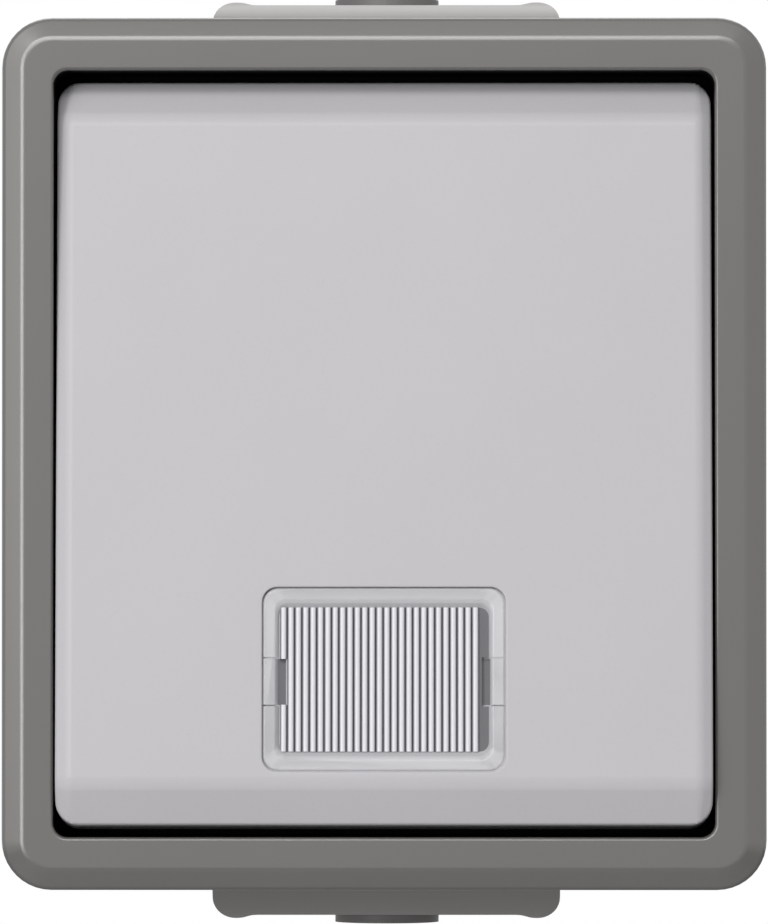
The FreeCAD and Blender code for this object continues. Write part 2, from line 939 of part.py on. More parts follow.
def make_plunger_spring():
    """Coil between the plunger's back and the rocker, short of it by the plunger's travel."""
    low = plunger_shoulder + plunger_body_length + spring_wire_radius
    high = rocker_ceiling - plunger_travel - 2 * plunger_fit - spring_wire_radius
    pitch = (high - low) / spring_turns
    helix = Part.makeHelix(pitch, high - low, spring_radius)
    wire = Part.Wire(helix.Edges)
    rise = pitch / (2 * math.pi * spring_radius)
    section = Part.Wire(
        Part.Circle(at(spring_radius, 0, 0), at(0, 1, rise), spring_wire_radius).toShape()
    )
    spring = wire.makePipeShell([section], True, True)
    spring.translate(at(0, 0, low))
    return spring


def make_contact_seesaw():
    """Stamped strip with two cheeks, each notched to rock on the fulcrum pin."""
    strip = rounded_block(
        2 * seesaw_half_width,
        2 * seesaw_half_length,
        seesaw_half_width / 2,
        seesaw_bottom,
        seesaw_top,
    )
    outer = seesaw_half_width + seesaw_cheek
    pieces = [strip]
    for side in (-1, 1):
        low_x = min(side * seesaw_half_width, side * outer)
        high_x = max(side * seesaw_half_width, side * outer)
        pieces.append(
            block(
                low_x,
                high_x,
                -seesaw_cheek_half_height,
                seesaw_cheek_half_height,
                fulcrum_z,
                seesaw_top,
            )
        )
    notch = cross_bar(fulcrum_radius + fulcrum_fit, -2 * outer, 2 * outer, 0, fulcrum_z)
    low = fulcrum_z - fulcrum_radius - cut_margin
    notch = notch.common(block(-outer, outer, -outer, outer, low, seesaw_bottom))
    return join(pieces).cut(notch)


def make_moving_rivets():
    """Two domed contact faces under the ends of the seesaw."""
    low = seesaw_bottom - moving_rivet_height
    rivet = post(moving_rivet_radius, low, seesaw_bottom, 0, contact_arm)
    dome = Part.makeSphere(rivet_dome_radius, at(0, contact_arm, low + rivet_dome_radius))
    rivet = rivet.common(dome)
    return Part.makeCompound([rivet, upside_down(rivet)])


def make_fixed_rivets():
    """Two flat contact faces on the fixed strips, where the domed ones come down."""
    rivet = post(fixed_rivet_radius, strip_top, contact_z - contact_gap, 0, contact_y)
    return Part.makeCompound([rivet, upside_down(rivet)])


def fixed_strip_points():
    """Corners of the upper fixed strip, from the contact to its terminal pad."""
    low_y = contact_y - strip_half_width
    high_y = contact_y + strip_half_width
    pad_low = terminal_x - pad_half_width
    pad_high = terminal_x + pad_half_width
    return [
        (-strip_half_width, low_y),
        (pad_low, low_y),
        (pad_low, terminal_y - clamp_half_length),
        (pad_high, terminal_y - clamp_half_length),
        (pad_high, high_y),
        (-strip_half_width, high_y),
    ]


def lower_strip_points():
    """The lower fixed strip mirrors the upper one and has a tail to the lamp."""
    points = [(x, -y) for x, y in fixed_strip_points()]
    low_y = -contact_y - strip_half_width
    left_x = pin_spacing / 2 - tail_width / 2
    right_x = pin_spacing / 2 + tail_width / 2
    end_y = -lamp_drop - tail_width / 2
    tail = [(right_x, low_y), (right_x, end_y), (left_x, end_y), (left_x, low_y)]
    return points[:5] + tail + points[5:]


def common_strip_points():
    pad_low = -terminal_x - pad_half_width
    pad_high = -terminal_x + pad_half_width
    return [
        (strip_half_width, -strip_half_width),
        (strip_half_width, strip_half_width),
        (pad_high, strip_half_width),
        (pad_high, terminal_y + clamp_half_length),
        (pad_low, terminal_y + clamp_half_length),
        (pad_low, -strip_half_width),
    ]


def neutral_strip_points():
    pad_low = -terminal_x - pad_half_width
    pad_high = -terminal_x + pad_half_width
    bar_low = -lamp_drop - tail_width / 2
    bar_high = -lamp_drop + tail_width / 2
    end_x = -pin_spacing / 2 + tail_width / 2
    return [
        (pad_low, -terminal_y + clamp_half_length),
        (pad_low, bar_low),
        (end_x, bar_low),
        (end_x, bar_high),
        (pad_high, bar_high),
        (pad_high, -terminal_y + clamp_half_length),
    ]


def make_common_terminal():
    """Common strip with the upright fulcrum block and its pin."""
    strip = plate(common_strip_points(), strip_bottom, strip_top)
    upright = block(
        -strip_half_width,
        strip_half_width,
        -fulcrum_radius,
        fulcrum_radius,
        strip_top,
        fulcrum_z,
    )
    pin_reach = seesaw_half_width + seesaw_cheek
    pin = cross_bar(fulcrum_radius, -pin_reach, pin_reach, 0, fulcrum_z)
    return join([strip, upright, pin])


def terminal_places():
    return four_corners(terminal_x, terminal_y)


def make_terminal_clamps():
    """Four cages round the strips' pads, each with a threaded top wall."""
    clamps = []
    for x, y in terminal_places():
        low = strip_bottom - clamp_below
        high = strip_top + clamp_above
        cage = block(
            x - clamp_half_width,
            x + clamp_half_width,
            y - clamp_half_length,
            y + clamp_half_length,
            low,
            high,
        )
        room = block(
            x - clamp_half_width + clamp_wall,
            x + clamp_half_width - clamp_wall,
            y - 2 * clamp_half_length,
            y + 2 * clamp_half_length,
            low + clamp_wall,
            high - clamp_wall,
        )
        thread = post(terminal_screw_radius + screw_fit, high - 2 * clamp_wall, high, x, y)
        clamps.append(cage.cut([room, thread]))
    return Part.makeCompound(clamps)


def make_terminal_screws():
    """Four clamp screws whose ends stand on the strips' pads."""
    seat = socket_top - terminal_head_height
    screws = []
    for x, y in terminal_places():
        screws.append(
            slotted_screw(
                terminal_screw_radius,
                terminal_head_radius,
                terminal_head_height,
                seat - strip_top,
                x,
                y,
                seat,
            )
        )
    return Part.makeCompound(screws)


def make_insert_socket():
    """Moulded block with open chambers for the seesaw, strips, clamps and lamp."""
    body = rounded_block(
        socket_width, socket_height, socket_corner_radius, socket_bottom, socket_top
    )
    cuts = [
        block(
            -chamber_half_width,
            chamber_half_width,
            -chamber_half_height,
            chamber_half_height,
            strip_bottom,
            socket_top,
        ),
        block(
            -holder_half_width - channel_fit,
            holder_half_width + channel_fit,
            -lamp_drop - holder_half_height - channel_fit,
            -lamp_drop + holder_half_height + channel_fit,
            strip_bottom,
            socket_top,
        ),
    ]
    for points in (
        fixed_strip_points(),
        lower_strip_points(),
        common_strip_points(),
        neutral_strip_points(),
    ):
        cuts.append(channel(points, strip_bottom, socket_top))
    for x, y in terminal_places():
        half_x = clamp_half_width + clamp_fit
        half_y = clamp_half_length + clamp_fit
        low = strip_bottom - clamp_below
        cuts.append(block(x - half_x, x + half_x, y - half_y, y + half_y, low, socket_top))
        cuts.append(post(terminal_head_radius + clamp_fit, strip_top + clamp_above, socket_top, x, y))
    for x, y in insert_screw_places():
        seat = socket_bottom + insert_flange
        cuts.append(post(screw_radius + screw_fit, socket_bottom, seat, x, y))
        cuts.append(post(screw_head_radius + clamp_fit, seat, socket_top, x, y))
    for x, side in ((0.0, 1), (lower_leg_x, -1)):
        inner_y = leg_y - leg_thickness / 2 - channel_fit
        outer_y = leg_y + leg_thickness / 2 + channel_fit
        hook_y = outer_y + leg_hook
        low = socket_top - leg_length - channel_fit
        hook_top = socket_top - leg_length + leg_hook_height + channel_fit
        half_x = leg_half_width + channel_fit
        slot = join(
            [
                block(x - half_x, x + half_x, inner_y, outer_y, low, socket_top),
                block(x - half_x, x + half_x, inner_y, hook_y, low, hook_top),
            ]
        )
        cuts.append(slot if side > 0 else upside_down(slot))
    return body.cut(cuts)


def make_insert_cover():
    """Plate over the contact block with the seal's collar, two open bearings and lamp turret."""
    pieces = [
        rounded_block(
            2 * cover_half_width, socket_height - 2 * channel_fit, collar_wall, socket_top, cover_top
        ),
        rounded_block(
            2 * (collar_half_width + collar_step),
            2 * (collar_half_height + collar_step),
            collar_wall,
            socket_top,
            seal_bottom,
        ),
        rounded_block(
            2 * collar_half_width, 2 * collar_half_height, collar_wall, socket_top, collar_top
        ),
        rounded_block(
            2 * (turret_half_width + collar_step),
            2 * (turret_half_height + turret_wall),
            turret_wall,
            socket_top,
            seal_bottom,
            0,
            -lamp_drop,
        ),
        rounded_block(
            2 * turret_half_width,
            2 * turret_half_height,
            turret_wall,
            socket_top,
            turret_top,
            0,
            -lamp_drop,
        ),
    ]
    ear = block(
        collar_half_width - collar_wall,
        collar_half_width,
        -ear_half_height,
        ear_half_height,
        socket_top,
        hinge_z + ear_top,
    )
    pieces.append(ear)
    pieces.append(across(ear))
    for x, side in ((0.0, 1), (lower_leg_x, -1)):
        leg = join(
            [
                block(
                    x - leg_half_width,
                    x + leg_half_width,
                    leg_y - leg_thickness / 2,
                    leg_y + leg_thickness / 2,
                    socket_top - leg_length,
                    cover_top,
                ),
                block(
                    x - leg_half_width,
                    x + leg_half_width,
                    leg_y - leg_thickness / 2,
                    leg_y + leg_thickness / 2 + leg_hook,
                    socket_top - leg_length,
                    socket_top - leg_length + leg_hook_height,
                ),
            ]
        )
        pieces.append(leg if side > 0 else upside_down(leg))
    body = join(pieces)
    bearing_reach = 2 * collar_half_width
    cuts = [
        rounded_block(
            2 * (collar_half_width - collar_wall),
            2 * (collar_half_height - collar_wall),
            collar_wall / 2,
            socket_top,
            collar_top,
        ),
        rounded_block(
            2 * (holder_half_width + channel_fit),
            2 * (holder_half_height + channel_fit),
            channel_fit,
            socket_top,
            turret_top,
            0,
            -lamp_drop,
        ),
        cross_bar(trunnion_radius + trunnion_fit, -bearing_reach, bearing_reach, 0, hinge_z),
        block(
            -bearing_reach,
            bearing_reach,
            -bearing_slot_half_width,
            bearing_slot_half_width,
            hinge_z,
            hinge_z + 2 * ear_top,
        ),
    ]
    return body.cut(cuts)


def make_lamp_holder():
    """Plug-in housing: closed box with pin holes below and a round mouth for the lamp."""
    low = turret_top - holder_length
    body = join(
        [
            rounded_block(
                2 * holder_half_width,
                2 * holder_half_height,
                holder_wall / 2,
                low,
                turret_top + holder_flange,
                0,
                -lamp_drop,
            ),
            rounded_block(
                2 * turret_half_width,
                2 * turret_half_height,
                turret_wall,
                turret_top,
                turret_top + holder_flange,
                0,
                -lamp_drop,
            ),
        ]
    )
    room = rounded_block(
        2 * (holder_half_width - holder_wall),
        2 * (holder_half_height - holder_wall),
        holder_wall / 2,
        low + holder_wall,
        turret_top,
        0,
        -lamp_drop,
    )
    top = turret_top + holder_flange
    mouth = post(lamp_radius + lamp_fit, low + holder_length / 2, top, 0, -lamp_drop)
    cuts = [room, mouth]
    for side in (-1, 1):
        x = side * pin_spacing / 2
        cuts.append(post(pin_radius + lamp_fit, low, low + 2 * holder_wall, x, -lamp_drop))
    return body.cut(cuts)


def make_glow_lamp():
    top = turret_top + holder_flange + lamp_rise
    tube = post(lamp_radius, top - lamp_length, top - lamp_radius, 0, -lamp_drop)
    dome = Part.makeSphere(lamp_radius, at(0, -lamp_drop, top - lamp_radius))
    return join([tube, dome])


def make_lamp_resistor():
    """Resistor that lies on the holder's floor between the pins."""
    z = turret_top - holder_length + holder_wall + resistor_radius
    return cross_bar(resistor_radius, -resistor_length / 2, resistor_length / 2, -lamp_drop, z)


def make_lamp_pins():
    """Two pins that stand on the contact strips and reach into the holder."""
    pins = []
    for side in (-1, 1):
        x = side * pin_spacing / 2
        pins.append(post(pin_radius, strip_top, strip_top + pin_rise, x, -lamp_drop))
    return Part.makeCompound(pins)


def make_upper_grommet():
    """Rubber bush: inner flange, body in the boss, stepped nose with a blind cable bore."""
    lip_y = box_height / 2 + boss_reach
    nose_y = lip_y + grommet_nose_reach
    wall_y = box_height / 2 - box_wall
    bush = join(
        [
            entry_bar(grommet_flange_radius, wall_y - grommet_flange, wall_y),
            entry_bar(entry_bore_radius - grommet_fit, wall_y - grommet_flange, lip_y - grommet_step),
            entry_bar(grommet_nose_radius, wall_y - grommet_flange, nose_y),
        ]
    )
    floor_y = wall_y - grommet_flange + grommet_membrane
    return bush.cut(entry_bar(cable_radius, floor_y, nose_y))


def make_cover_gasket():
    """Rubber ring on the box's rim, under the cover frame."""
    outer = rounded_block(
        box_width, box_height, box_corner_radius, box_depth, box_depth + gasket_thickness
    )
    inner = rounded_block(
        box_width - 2 * box_wall,
        box_height - 2 * box_wall,
        max(box_corner_radius - box_wall, box_wall / 4),
        box_depth,
        box_depth + gasket_thickness,
    )
    return outer.cut(inner)


def make_neck_seal():
    """Black rubber tray: a sheet to the collar and the turret, a sleeve up the frame's opening."""
    top = seal_bottom + seal_thickness
    opening = rounded_block(
        opening_width, opening_height, opening_corner_radius, top, frame_front
    )
    tray = sleeve_block(seal_bottom).cut(opening)
    cuts = [
        rounded_block(
            2 * (collar_half_width + seal_fit),
            2 * (collar_half_height + seal_fit),
            collar_wall,
            seal_bottom,
            top,
        ),
        rounded_block(
            2 * (turret_half_width + seal_fit),
            2 * (turret_half_height + seal_fit),
            turret_wall,
            seal_bottom,
            top,
            0,
            -lamp_drop,
        ),
    ]
    for x, y in frame_screw_places():
        cuts.append(post(screw_head_radius + seal_fit, seal_bottom, top, x, y))
    return tray.cut(cuts)


def make_screw_pair(places, length, seat):
    screws = []
    for x, y in places:
        screws.append(
            slotted_screw(screw_radius, screw_head_radius, screw_head_height, length, x, y, seat)
        )
    return Part.makeCompound(screws)


def build():
    """All pieces by name, in their places, with the rocker and the seesaw at rest."""
    grommet = make_upper_grommet()
    fixed = {
        "base_box": make_base_box(),
        "cover_frame": make_cover_frame(),
        "cover_gasket": make_cover_gasket(),
        "neck_seal": make_neck_seal(),
        "upper_grommet": grommet,
        "lower_grommet": upside_down(grommet),
        "insert_socket": make_insert_socket(),
        "insert_cover": make_insert_cover(),
        "insert_screws": make_screw_pair(
            insert_screw_places(), insert_screw_length, socket_bottom + insert_flange
        ),
        "frame_screws": make_screw_pair(frame_screw_places(), frame_screw_length, seal_bottom),
        "common_terminal": make_common_terminal(),
        "upper_fixed_contact": plate(fixed_strip_points(), strip_bottom, strip_top),
        "lower_fixed_contact": plate(lower_strip_points(), strip_bottom, strip_top),
        "neutral_terminal": plate(neutral_strip_points(), strip_bottom, strip_top),
        "fixed_rivets": make_fixed_rivets(),
        "terminal_clamps": make_terminal_clamps(),
        "terminal_screws": make_terminal_screws(),
        "lamp_holder": make_lamp_holder(),
        "glow_lamp": make_glow_lamp(),
        "lamp_resistor": make_lamp_resistor(),
        "lamp_pins": make_lamp_pins(),
    }
    rocking = {
        "rocker": make_rocker(),
        "window_lens": make_window_lens(),
        "label_inlay": make_label_inlay(),
        "rocker_cradle": make_rocker_cradle(),
        "plunger": make_plunger(),
        "plunger_spring": make_plunger_spring(),
    }
    switching = {
        "contact_seesaw": make_contact_seesaw(),
        "moving_rivets": make_moving_rivets(),
    }
    pieces = dict(fixed)
    for name, shape in rocking.items():
        pieces[name] = turned(shape, -rocker_tilt, hinge_z)
    for name, shape in switching.items():
        pieces[name] = turned(shape, seesaw_tilt, fulcrum_z)
    return pieces


def main():
    os.makedirs("parts", exist_ok=True)
    for name, shape in build().items():
        upright = shape.copy()
        upright.rotate(at(0, 0, 0), at(1, 0, 0), 90)
        upright.exportStep(os.path.join("parts", name + ".step"))
        print(name, "solids", len(upright.Solids), "valid", upright.isValid())
    print("rocker_tilt axis at y", -hinge_z / 1000, "z", 0.0)
    print("seesaw_tilt axis at y", -fulcrum_z / 1000, "z", 0.0)
    slide = (0.0, -math.cos(tilt_rad), math.sin(tilt_rad))
    print("plunger_slide direction", slide)


main()
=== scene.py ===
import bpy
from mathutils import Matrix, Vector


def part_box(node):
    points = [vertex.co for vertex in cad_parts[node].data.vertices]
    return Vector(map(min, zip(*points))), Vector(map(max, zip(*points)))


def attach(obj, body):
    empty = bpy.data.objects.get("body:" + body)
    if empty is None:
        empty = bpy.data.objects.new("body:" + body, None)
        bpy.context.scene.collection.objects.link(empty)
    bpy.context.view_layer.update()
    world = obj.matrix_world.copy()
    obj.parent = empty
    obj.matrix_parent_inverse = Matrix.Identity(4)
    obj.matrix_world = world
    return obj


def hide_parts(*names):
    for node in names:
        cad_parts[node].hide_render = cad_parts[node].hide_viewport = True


bl_info = {
    "name": "Weatherproof rocker switch",
    "version": (1, 0, 0),
    "blender": (4, 5, 0),
    "location": "3D View > Sidebar > Switch",
    "description": "Dresses a surface-mounting weatherproof rocker switch around its fixed frame",
    "category": "Object",
}

import math

import bmesh
import bpy
from mathutils import Matrix, Vector

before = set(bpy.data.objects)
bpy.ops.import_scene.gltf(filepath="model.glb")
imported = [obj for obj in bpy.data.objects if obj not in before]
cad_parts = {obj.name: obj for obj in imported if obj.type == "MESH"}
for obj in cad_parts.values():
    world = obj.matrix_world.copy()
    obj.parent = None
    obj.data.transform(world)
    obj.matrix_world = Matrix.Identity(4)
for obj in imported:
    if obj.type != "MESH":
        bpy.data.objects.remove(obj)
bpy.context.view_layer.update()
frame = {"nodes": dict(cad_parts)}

MM = 0.001
# Steps of a quarter-round corner, a broad crease, a rounded edge and a fine edge
CORNER_STEPS = 10
CREASE_STEPS = 8
EDGE_STEPS = 5
FINE_STEPS = 3
SMOOTH_BELOW = math.radians(32)
CREASE_ABOVE = math.radians(2)
# Points this close are one, and heights this close are level
TOUCHING = MM / 1000
LEVEL = MM / 100
# Upward part of a normal: above the first a face is a top, below the second it is a wall
TOP_LEAN = 0.5
WALL_LEAN = 0.1
# Places of the lens's materials on its mesh; its clear plastic is the first
RIBBED = 1
SHADED = 2
# A circle's radius is kept just under half its size, so that its sides don't collapse
ROUND = 0.999

# Pieces are shaped lying down, x to the right, y up the wall and z out of it, then stood up
UPRIGHT = Matrix.Rotation(math.radians(90), 4, "X")


def laid_box(node):
    """Lowest and highest corners of a node as it lies before it is stood up."""
    low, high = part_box(node)
    return Vector((low.x, low.z, -high.y)), Vector((high.x, high.z, -low.y))


FRAME_LOW, FRAME_HIGH = laid_box("cover_frame")
SEAL_FOOT = laid_box("neck_seal")[0].z
GASKET_TOP = laid_box("cover_gasket")[1].z


def length(name, description, value):
    """A size of the object, given here in millimetres and kept in metres."""
    return bpy.props.FloatProperty(
        name=name, description=description, default=value * MM, precision=5, unit="LENGTH"
    )


def colour(name, description, code):
    """A colour written as an sRGB hex value."""
    return bpy.props.FloatVectorProperty(
        name=name, description=description, default=linear(code), size=4, subtype="COLOR"
    )


def linear(code):
    """An sRGB hex value as linear red, green, blue and an alpha of 1."""
    parts = [int(code[i : i + 2], 16) / 255 for i in (1, 3, 5)]
    line = [c / 12.92 if c <= 0.04045 else ((c + 0.055) / 1.055) ** 2.4 for c in parts]
    return (*line, 1.0)


class SWITCH_PG_frame(bpy.types.PropertyGroup):
    """Sizes of the cover frame."""

    corner: length("Corner radius", "Radius of the frame's outer corners", 4.3)
    band: length("Band width", "Width of the sloped band along the outer edge", 1.8)
    drop: length("Band drop", "How far the band falls away to the outer edge", 0.6)
    crease: length("Crease radius", "Rounding between the band and the flat front", 1.6)
    shoulder: length("Edge radius", "Rounding of the outer edge", 0.5)
    border_side: length("Side border", "Width of the border left and right", 4.45)
    border_end: length("End border", "Width of the border at top and bottom", 4.55)
    mouth_corner: length("Opening corner", "Corner radius of the opening", 1.25)
    mouth_edge: length("Opening edge", "Rounding of the opening's front edge", 0.3)
    wall: length("Wall", "Thickness of the outer wall", 2.4)
    front_wall: length("Front wall", "Thickness of the front", 2.0)
    reveal: length("Reveal wall", "Thickness of the wall round the opening", 1.25)
    sleeve: length("Sleeve", "Thickness of the seal's sleeve in the opening", 0.4)
    sleeve_lip: length("Sleeve lip", "Thickness of the lip in front of the sleeve", 0.8)
    ledge: length("Ledge width", "Width of the ledge at the foot of the opening", 3.0)
    ledge_thickness: length("Ledge thickness", "Thickness of that ledge", 1.7)
    skirt: length("Skirt wall", "Thickness of the wall that laps over the box", 1.2)
    box_corner: length("Box corner", "Corner radius of the room for the box", 3.0)
    lug: length("Lug radius", "Radius of the two screw lugs", 3.6)
    lug_bore: length("Lug bore", "Radius of the screw hole in a lug", 1.5)
    screw_head: length("Screw head", "Radius of the heads of the frame's screws", 2.6)
    edge: length("Small edge", "Rounding of the plain moulded edges", 0.2)


class SWITCH_PG_rocker(bpy.types.PropertyGroup):
    """Sizes of the rocker, level, before it is tilted."""

    side_gap: length("Side gap", "Gap to the frame left and right", 0.25)
    end_gap: length("End gap", "Gap to the frame at top and bottom", 0.9)
    corner: length("Corner radius", "Radius of the rocker's outline", 1.9)
    setback: length("Setback", "Depth of the end rims behind the frame's front", 2.0)
    bevel_run: length("Bevel run", "Length of the bevels at top and bottom", 3.4)
    bevel_rise: length("Bevel rise", "Height of the face above the end rims", 2.42)
    side_run: length("Side slope", "Width of the slopes at the left and right edges", 1.1)
    side_drop: length("Side drop", "How far those slopes fall away to the edge", 0.7)
    crease: length("End crease", "Radius between the end bevels and the face", 2.2)
    side_crease: length("Side crease", "Radius between the side slopes and the face", 1.5)
    shoulder: length("Shoulder", "Rounding between the top and the walls", 0.25)
    wall: length("Wall", "Thickness of the shell", 1.6)
    skirt: length("Skirt", "Depth of the skirt below the rim", 4.5)
    draft: length("End draft", "How far the end walls lean out from the face to the foot", 0.3)
    hinge_setback: length("Hinge setback", "Depth of the tilting axis behind the rim", 2.0)
    tilt: bpy.props.FloatProperty(
        name="Tilt",
        description="How far the top is pressed in at rest",
        default=math.radians(4.0),
        subtype="ANGLE",
        unit="ROTATION",
    )


class SWITCH_PG_window(bpy.types.PropertyGroup):
    """Sizes of the window in the rocker and of its lens."""

    foot: length("Foot", "Height of the window's middle above the rocker's lower end", 12.4)
    width: length("Width", "Width of the lens", 20.75)
    height: length("Height", "Height of the lens", 15.7)
    corner: length("Corner radius", "Corner radius of the lens", 1.3)
    flange: length("Flange", "Thickness of the lens's flange", 0.9)
    lip: length("Lip", "Width of the flange round the lens's body", 1.25)
    body_corner: length("Body corner", "Corner radius of the lens's body", 0.8)
    wall: length("Wall", "Thickness of the body's wall", 0.4)
    border_side: length("Side border", "Width of the flat border left and right", 1.0)
    border_end: length("End border", "Width of the flat border above and below", 0.95)
    draft_side: length("Side draft", "Slant of the pocket's walls left and right", 0.35)
    draft_end: length("End draft", "Slant of the pocket's walls above and below", 0.7)
    pocket_corner: length("Pocket corner", "Corner radius of the pocket's rim", 1.0)
    pocket: length("Pocket", "Depth of the ribbed field below the flange", 0.6)
    web: length("Web", "Thickness of the clear web under the ribs", 0.9)
    depth: length("Depth", "Whole depth of the lens", 2.9)
    fit: length("Fit", "Gap between the lens and the rocker", 0.1)
    margin: length("Margin", "Strip of the rocker's face kept flat round the lens", 0.2)
    flange_edge: length("Flange edge", "Rounding of the flange's front edge", 0.22)
    edge: length("Edge", "Rounding of the pocket's rim", 0.12)
    ribs: bpy.props.IntProperty(name="Ribs", description="Number of upright ribs", default=27)
    pitch: length("Rib pitch", "Spacing of the ribs", 0.635)
    rise: length("Rib height", "Height of the ribs", 0.3)
    shift: length("Rib shift", "Sideways place of the ribbed field", -0.38)
    tab: length("Tab height", "Height of the two snap tabs", 4.1)
    tab_drop: length("Tab drop", "How far the tabs' middle lies below the lens's", 0.2)
    slit: length("Tab slit", "Width of the slits beside a tab", 0.15)
    recess: length("Tab recess", "Width of the hole beside a tab", 0.7)


class SWITCH_PG_colours(bpy.types.PropertyGroup):
    """Colours of the finishes that show."""

    housing: colour("Housing", "Dark grey of the frame", "#676563")
    # Lighter than the frame's grey: painted light that brightens the box's bosses
    box: colour("Surface box", "Grey of the box and its entry bosses", "#878583")
    rocker: colour("Rocker", "Light grey of the rocker", "#D0CED1")
    film: colour("Film", "White of the label behind the lens", "#ECECF0")
    # Painted shade for the hollows between the lens's ribs, where the clear ribs bend the white
    # away
    painted_groove_shade: colour("Groove", "Grey between the ribs of the lens", "#77767C")
    recess: colour("Recess", "Shade in the holes beside the lens's tabs", "#66666A")
    seal: colour("Seal", "Black of the rubber seal", "#030303")
    grommet: colour("Grommet", "Grey of the cable grommets", "#7C7B7A")


def settings():
    return bpy.context.scene.switch_parts


class SWITCH_PG_parts(bpy.types.PropertyGroup):
    """All sizes and colours of the switch."""

    frame: bpy.props.PointerProperty(type=SWITCH_PG_frame)
    rocker: bpy.props.PointerProperty(type=SWITCH_PG_rocker)
    window: bpy.props.PointerProperty(type=SWITCH_PG_window)
    colours: bpy.props.PointerProperty(type=SWITCH_PG_colours)


def add_node(tree, kind, own=None, inputs=None):
    """Adds a node; own holds its properties, inputs its sockets' values or links."""
    node = tree.nodes.new(kind)
    for name, value in (own or {}).items():
        setattr(node, name, value)
    for name, value in (inputs or {}).items():
        if isinstance(value, bpy.types.NodeSocket):
            tree.links.new(value, node.inputs[name])
        else:
            node.inputs[name].default_value = value
    return node


def new_material(name):
    """An empty node material, its node tree and its output."""
    found = bpy.data.materials.new(name)
    found.use_nodes = True
    found.node_tree.nodes.clear()
    output = add_node(found.node_tree, "ShaderNodeOutputMaterial")
    return found, found.node_tree, output


def moulded(name, tint, roughness, grain, depth, cloud=0.02, specular=0.5):
    """Moulded plastic or rubber: an even colour, a soft gloss and the tool's fine grain.

    The grain's size and depth are in metres, and cloud is how far the colour wanders.
    """
    found, tree, output = new_material(name)
    place = add_node(tree, "ShaderNodeTexCoord").outputs["Object"]
    fine = add_node(
        tree,
        "ShaderNodeTexNoise",
        inputs={"Vector": place, "Scale": 1 / grain, "Detail": 2.0, "Roughness": 0.6},
    )
    bump = add_node(
        tree,
        "ShaderNodeBump",
        inputs={"Strength": 1.0, "Distance": depth, "Height": fine.outputs["Fac"]},
    )
    gloss = add_node(
        tree,
        "ShaderNodeMapRange",
        inputs={
            "Value": fine.outputs["Fac"],
            "To Min": roughness * 0.92,
            "To Max": roughness * 1.08,
        },
    )
    shader = add_node(
        tree,
        "ShaderNodeBsdfPrincipled",
        inputs={
            "Base Color": tinted(tree, place, tint, cloud),
            "Roughness": gloss.outputs["Result"],
            "Normal": bump.outputs["Normal"],
            "IOR": 1.5,
            "Specular IOR Level": specular,
        },
    )
    tree.links.new(shader.outputs["BSDF"], output.inputs["Surface"])
    return found


def tinted(tree, place, tint, amount, scale=14 * MM):
    """The tint with soft lighter and darker patches."""
    noise = add_node(
        tree,
        "ShaderNodeTexNoise",
        inputs={"Vector": place, "Scale": 1 / scale, "Detail": 3.0, "Roughness": 0.5},
    )
    ramp = add_node(tree, "ShaderNodeValToRGB", inputs={"Fac": noise.outputs["Fac"]})
    for element, share in zip(ramp.color_ramp.elements, (1 - amount, 1 + amount)):
        element.color = [c * share for c in tint[:3]] + [1.0]
    ramp.color_ramp.elements[0].position = 0.3
    ramp.color_ramp.elements[1].position = 0.7
    return ramp.outputs["Color"]


def metal(name, tint, roughness, grain=0.15 * MM):
    """Stamped or turned metal: bright, with fine drawn lines."""
    found, tree, output = new_material(name)
    place = add_node(tree, "ShaderNodeTexCoord").outputs["Object"]
    drawn = add_node(
        tree,
        "ShaderNodeMapping",
        inputs={"Vector": place, "Scale": (0.08 / grain, 1 / grain, 1 / grain)},
    )
    lines = add_node(
        tree,
        "ShaderNodeTexNoise",
        inputs={"Vector": drawn.outputs["Vector"], "Scale": 1.0, "Detail": 2.0},
    )
    gloss = add_node(
        tree,
        "ShaderNodeMapRange",
        inputs={
            "Value": lines.outputs["Fac"],
            "To Min": roughness * 0.8,
            "To Max": roughness * 1.3,
        },
    )
    shader = add_node(
        tree,
        "ShaderNodeBsdfPrincipled",
        inputs={
            "Base Color": tinted(tree, place, tint, 0.05, 3 * MM),
            "Metallic": 1.0,
            "Roughness": gloss.outputs["Result"],
        },
    )
    tree.links.new(shader.outputs["BSDF"], output.inputs["Surface"])
    return found


def clear_plastic():
    """Clear polycarbonate, drawn mostly opaque in a tint lighter than the rocker: painted light
    in place of the light that passes through to its seat; denser where it turns away, without
    shadow.
    """
    found, tree, output = new_material("clear_polycarbonate")
    place = add_node(tree, "ShaderNodeTexCoord").outputs["Object"]
    turned = add_node(tree, "ShaderNodeLayerWeight", inputs={"Blend": 0.35})
    cover = add_node(
        tree,
        "ShaderNodeMapRange",
        inputs={"Value": turned.outputs["Facing"], "To Min": 0.65, "To Max": 0.95},
    )
    path = add_node(tree, "ShaderNodeLightPath")
    alpha = add_node(
        tree,
        "ShaderNodeMath",
        {"operation": "SUBTRACT", "use_clamp": True},
        {0: cover.outputs["Result"], 1: path.outputs["Is Shadow Ray"]},
    )
    shader = add_node(
        tree,
        "ShaderNodeBsdfPrincipled",
        inputs={
            # Painted light: a tint lighter than the rocker's stands in for light reaching the
            # seat beneath
            "Base Color": tinted(tree, place, linear("#E0E0E3"), 0.02),
            "Roughness": 0.15,
            "IOR": 1.585,
            "Alpha": alpha.outputs["Value"],
        },
    )
    tree.links.new(shader.outputs["BSDF"], output.inputs["Surface"])
    return found


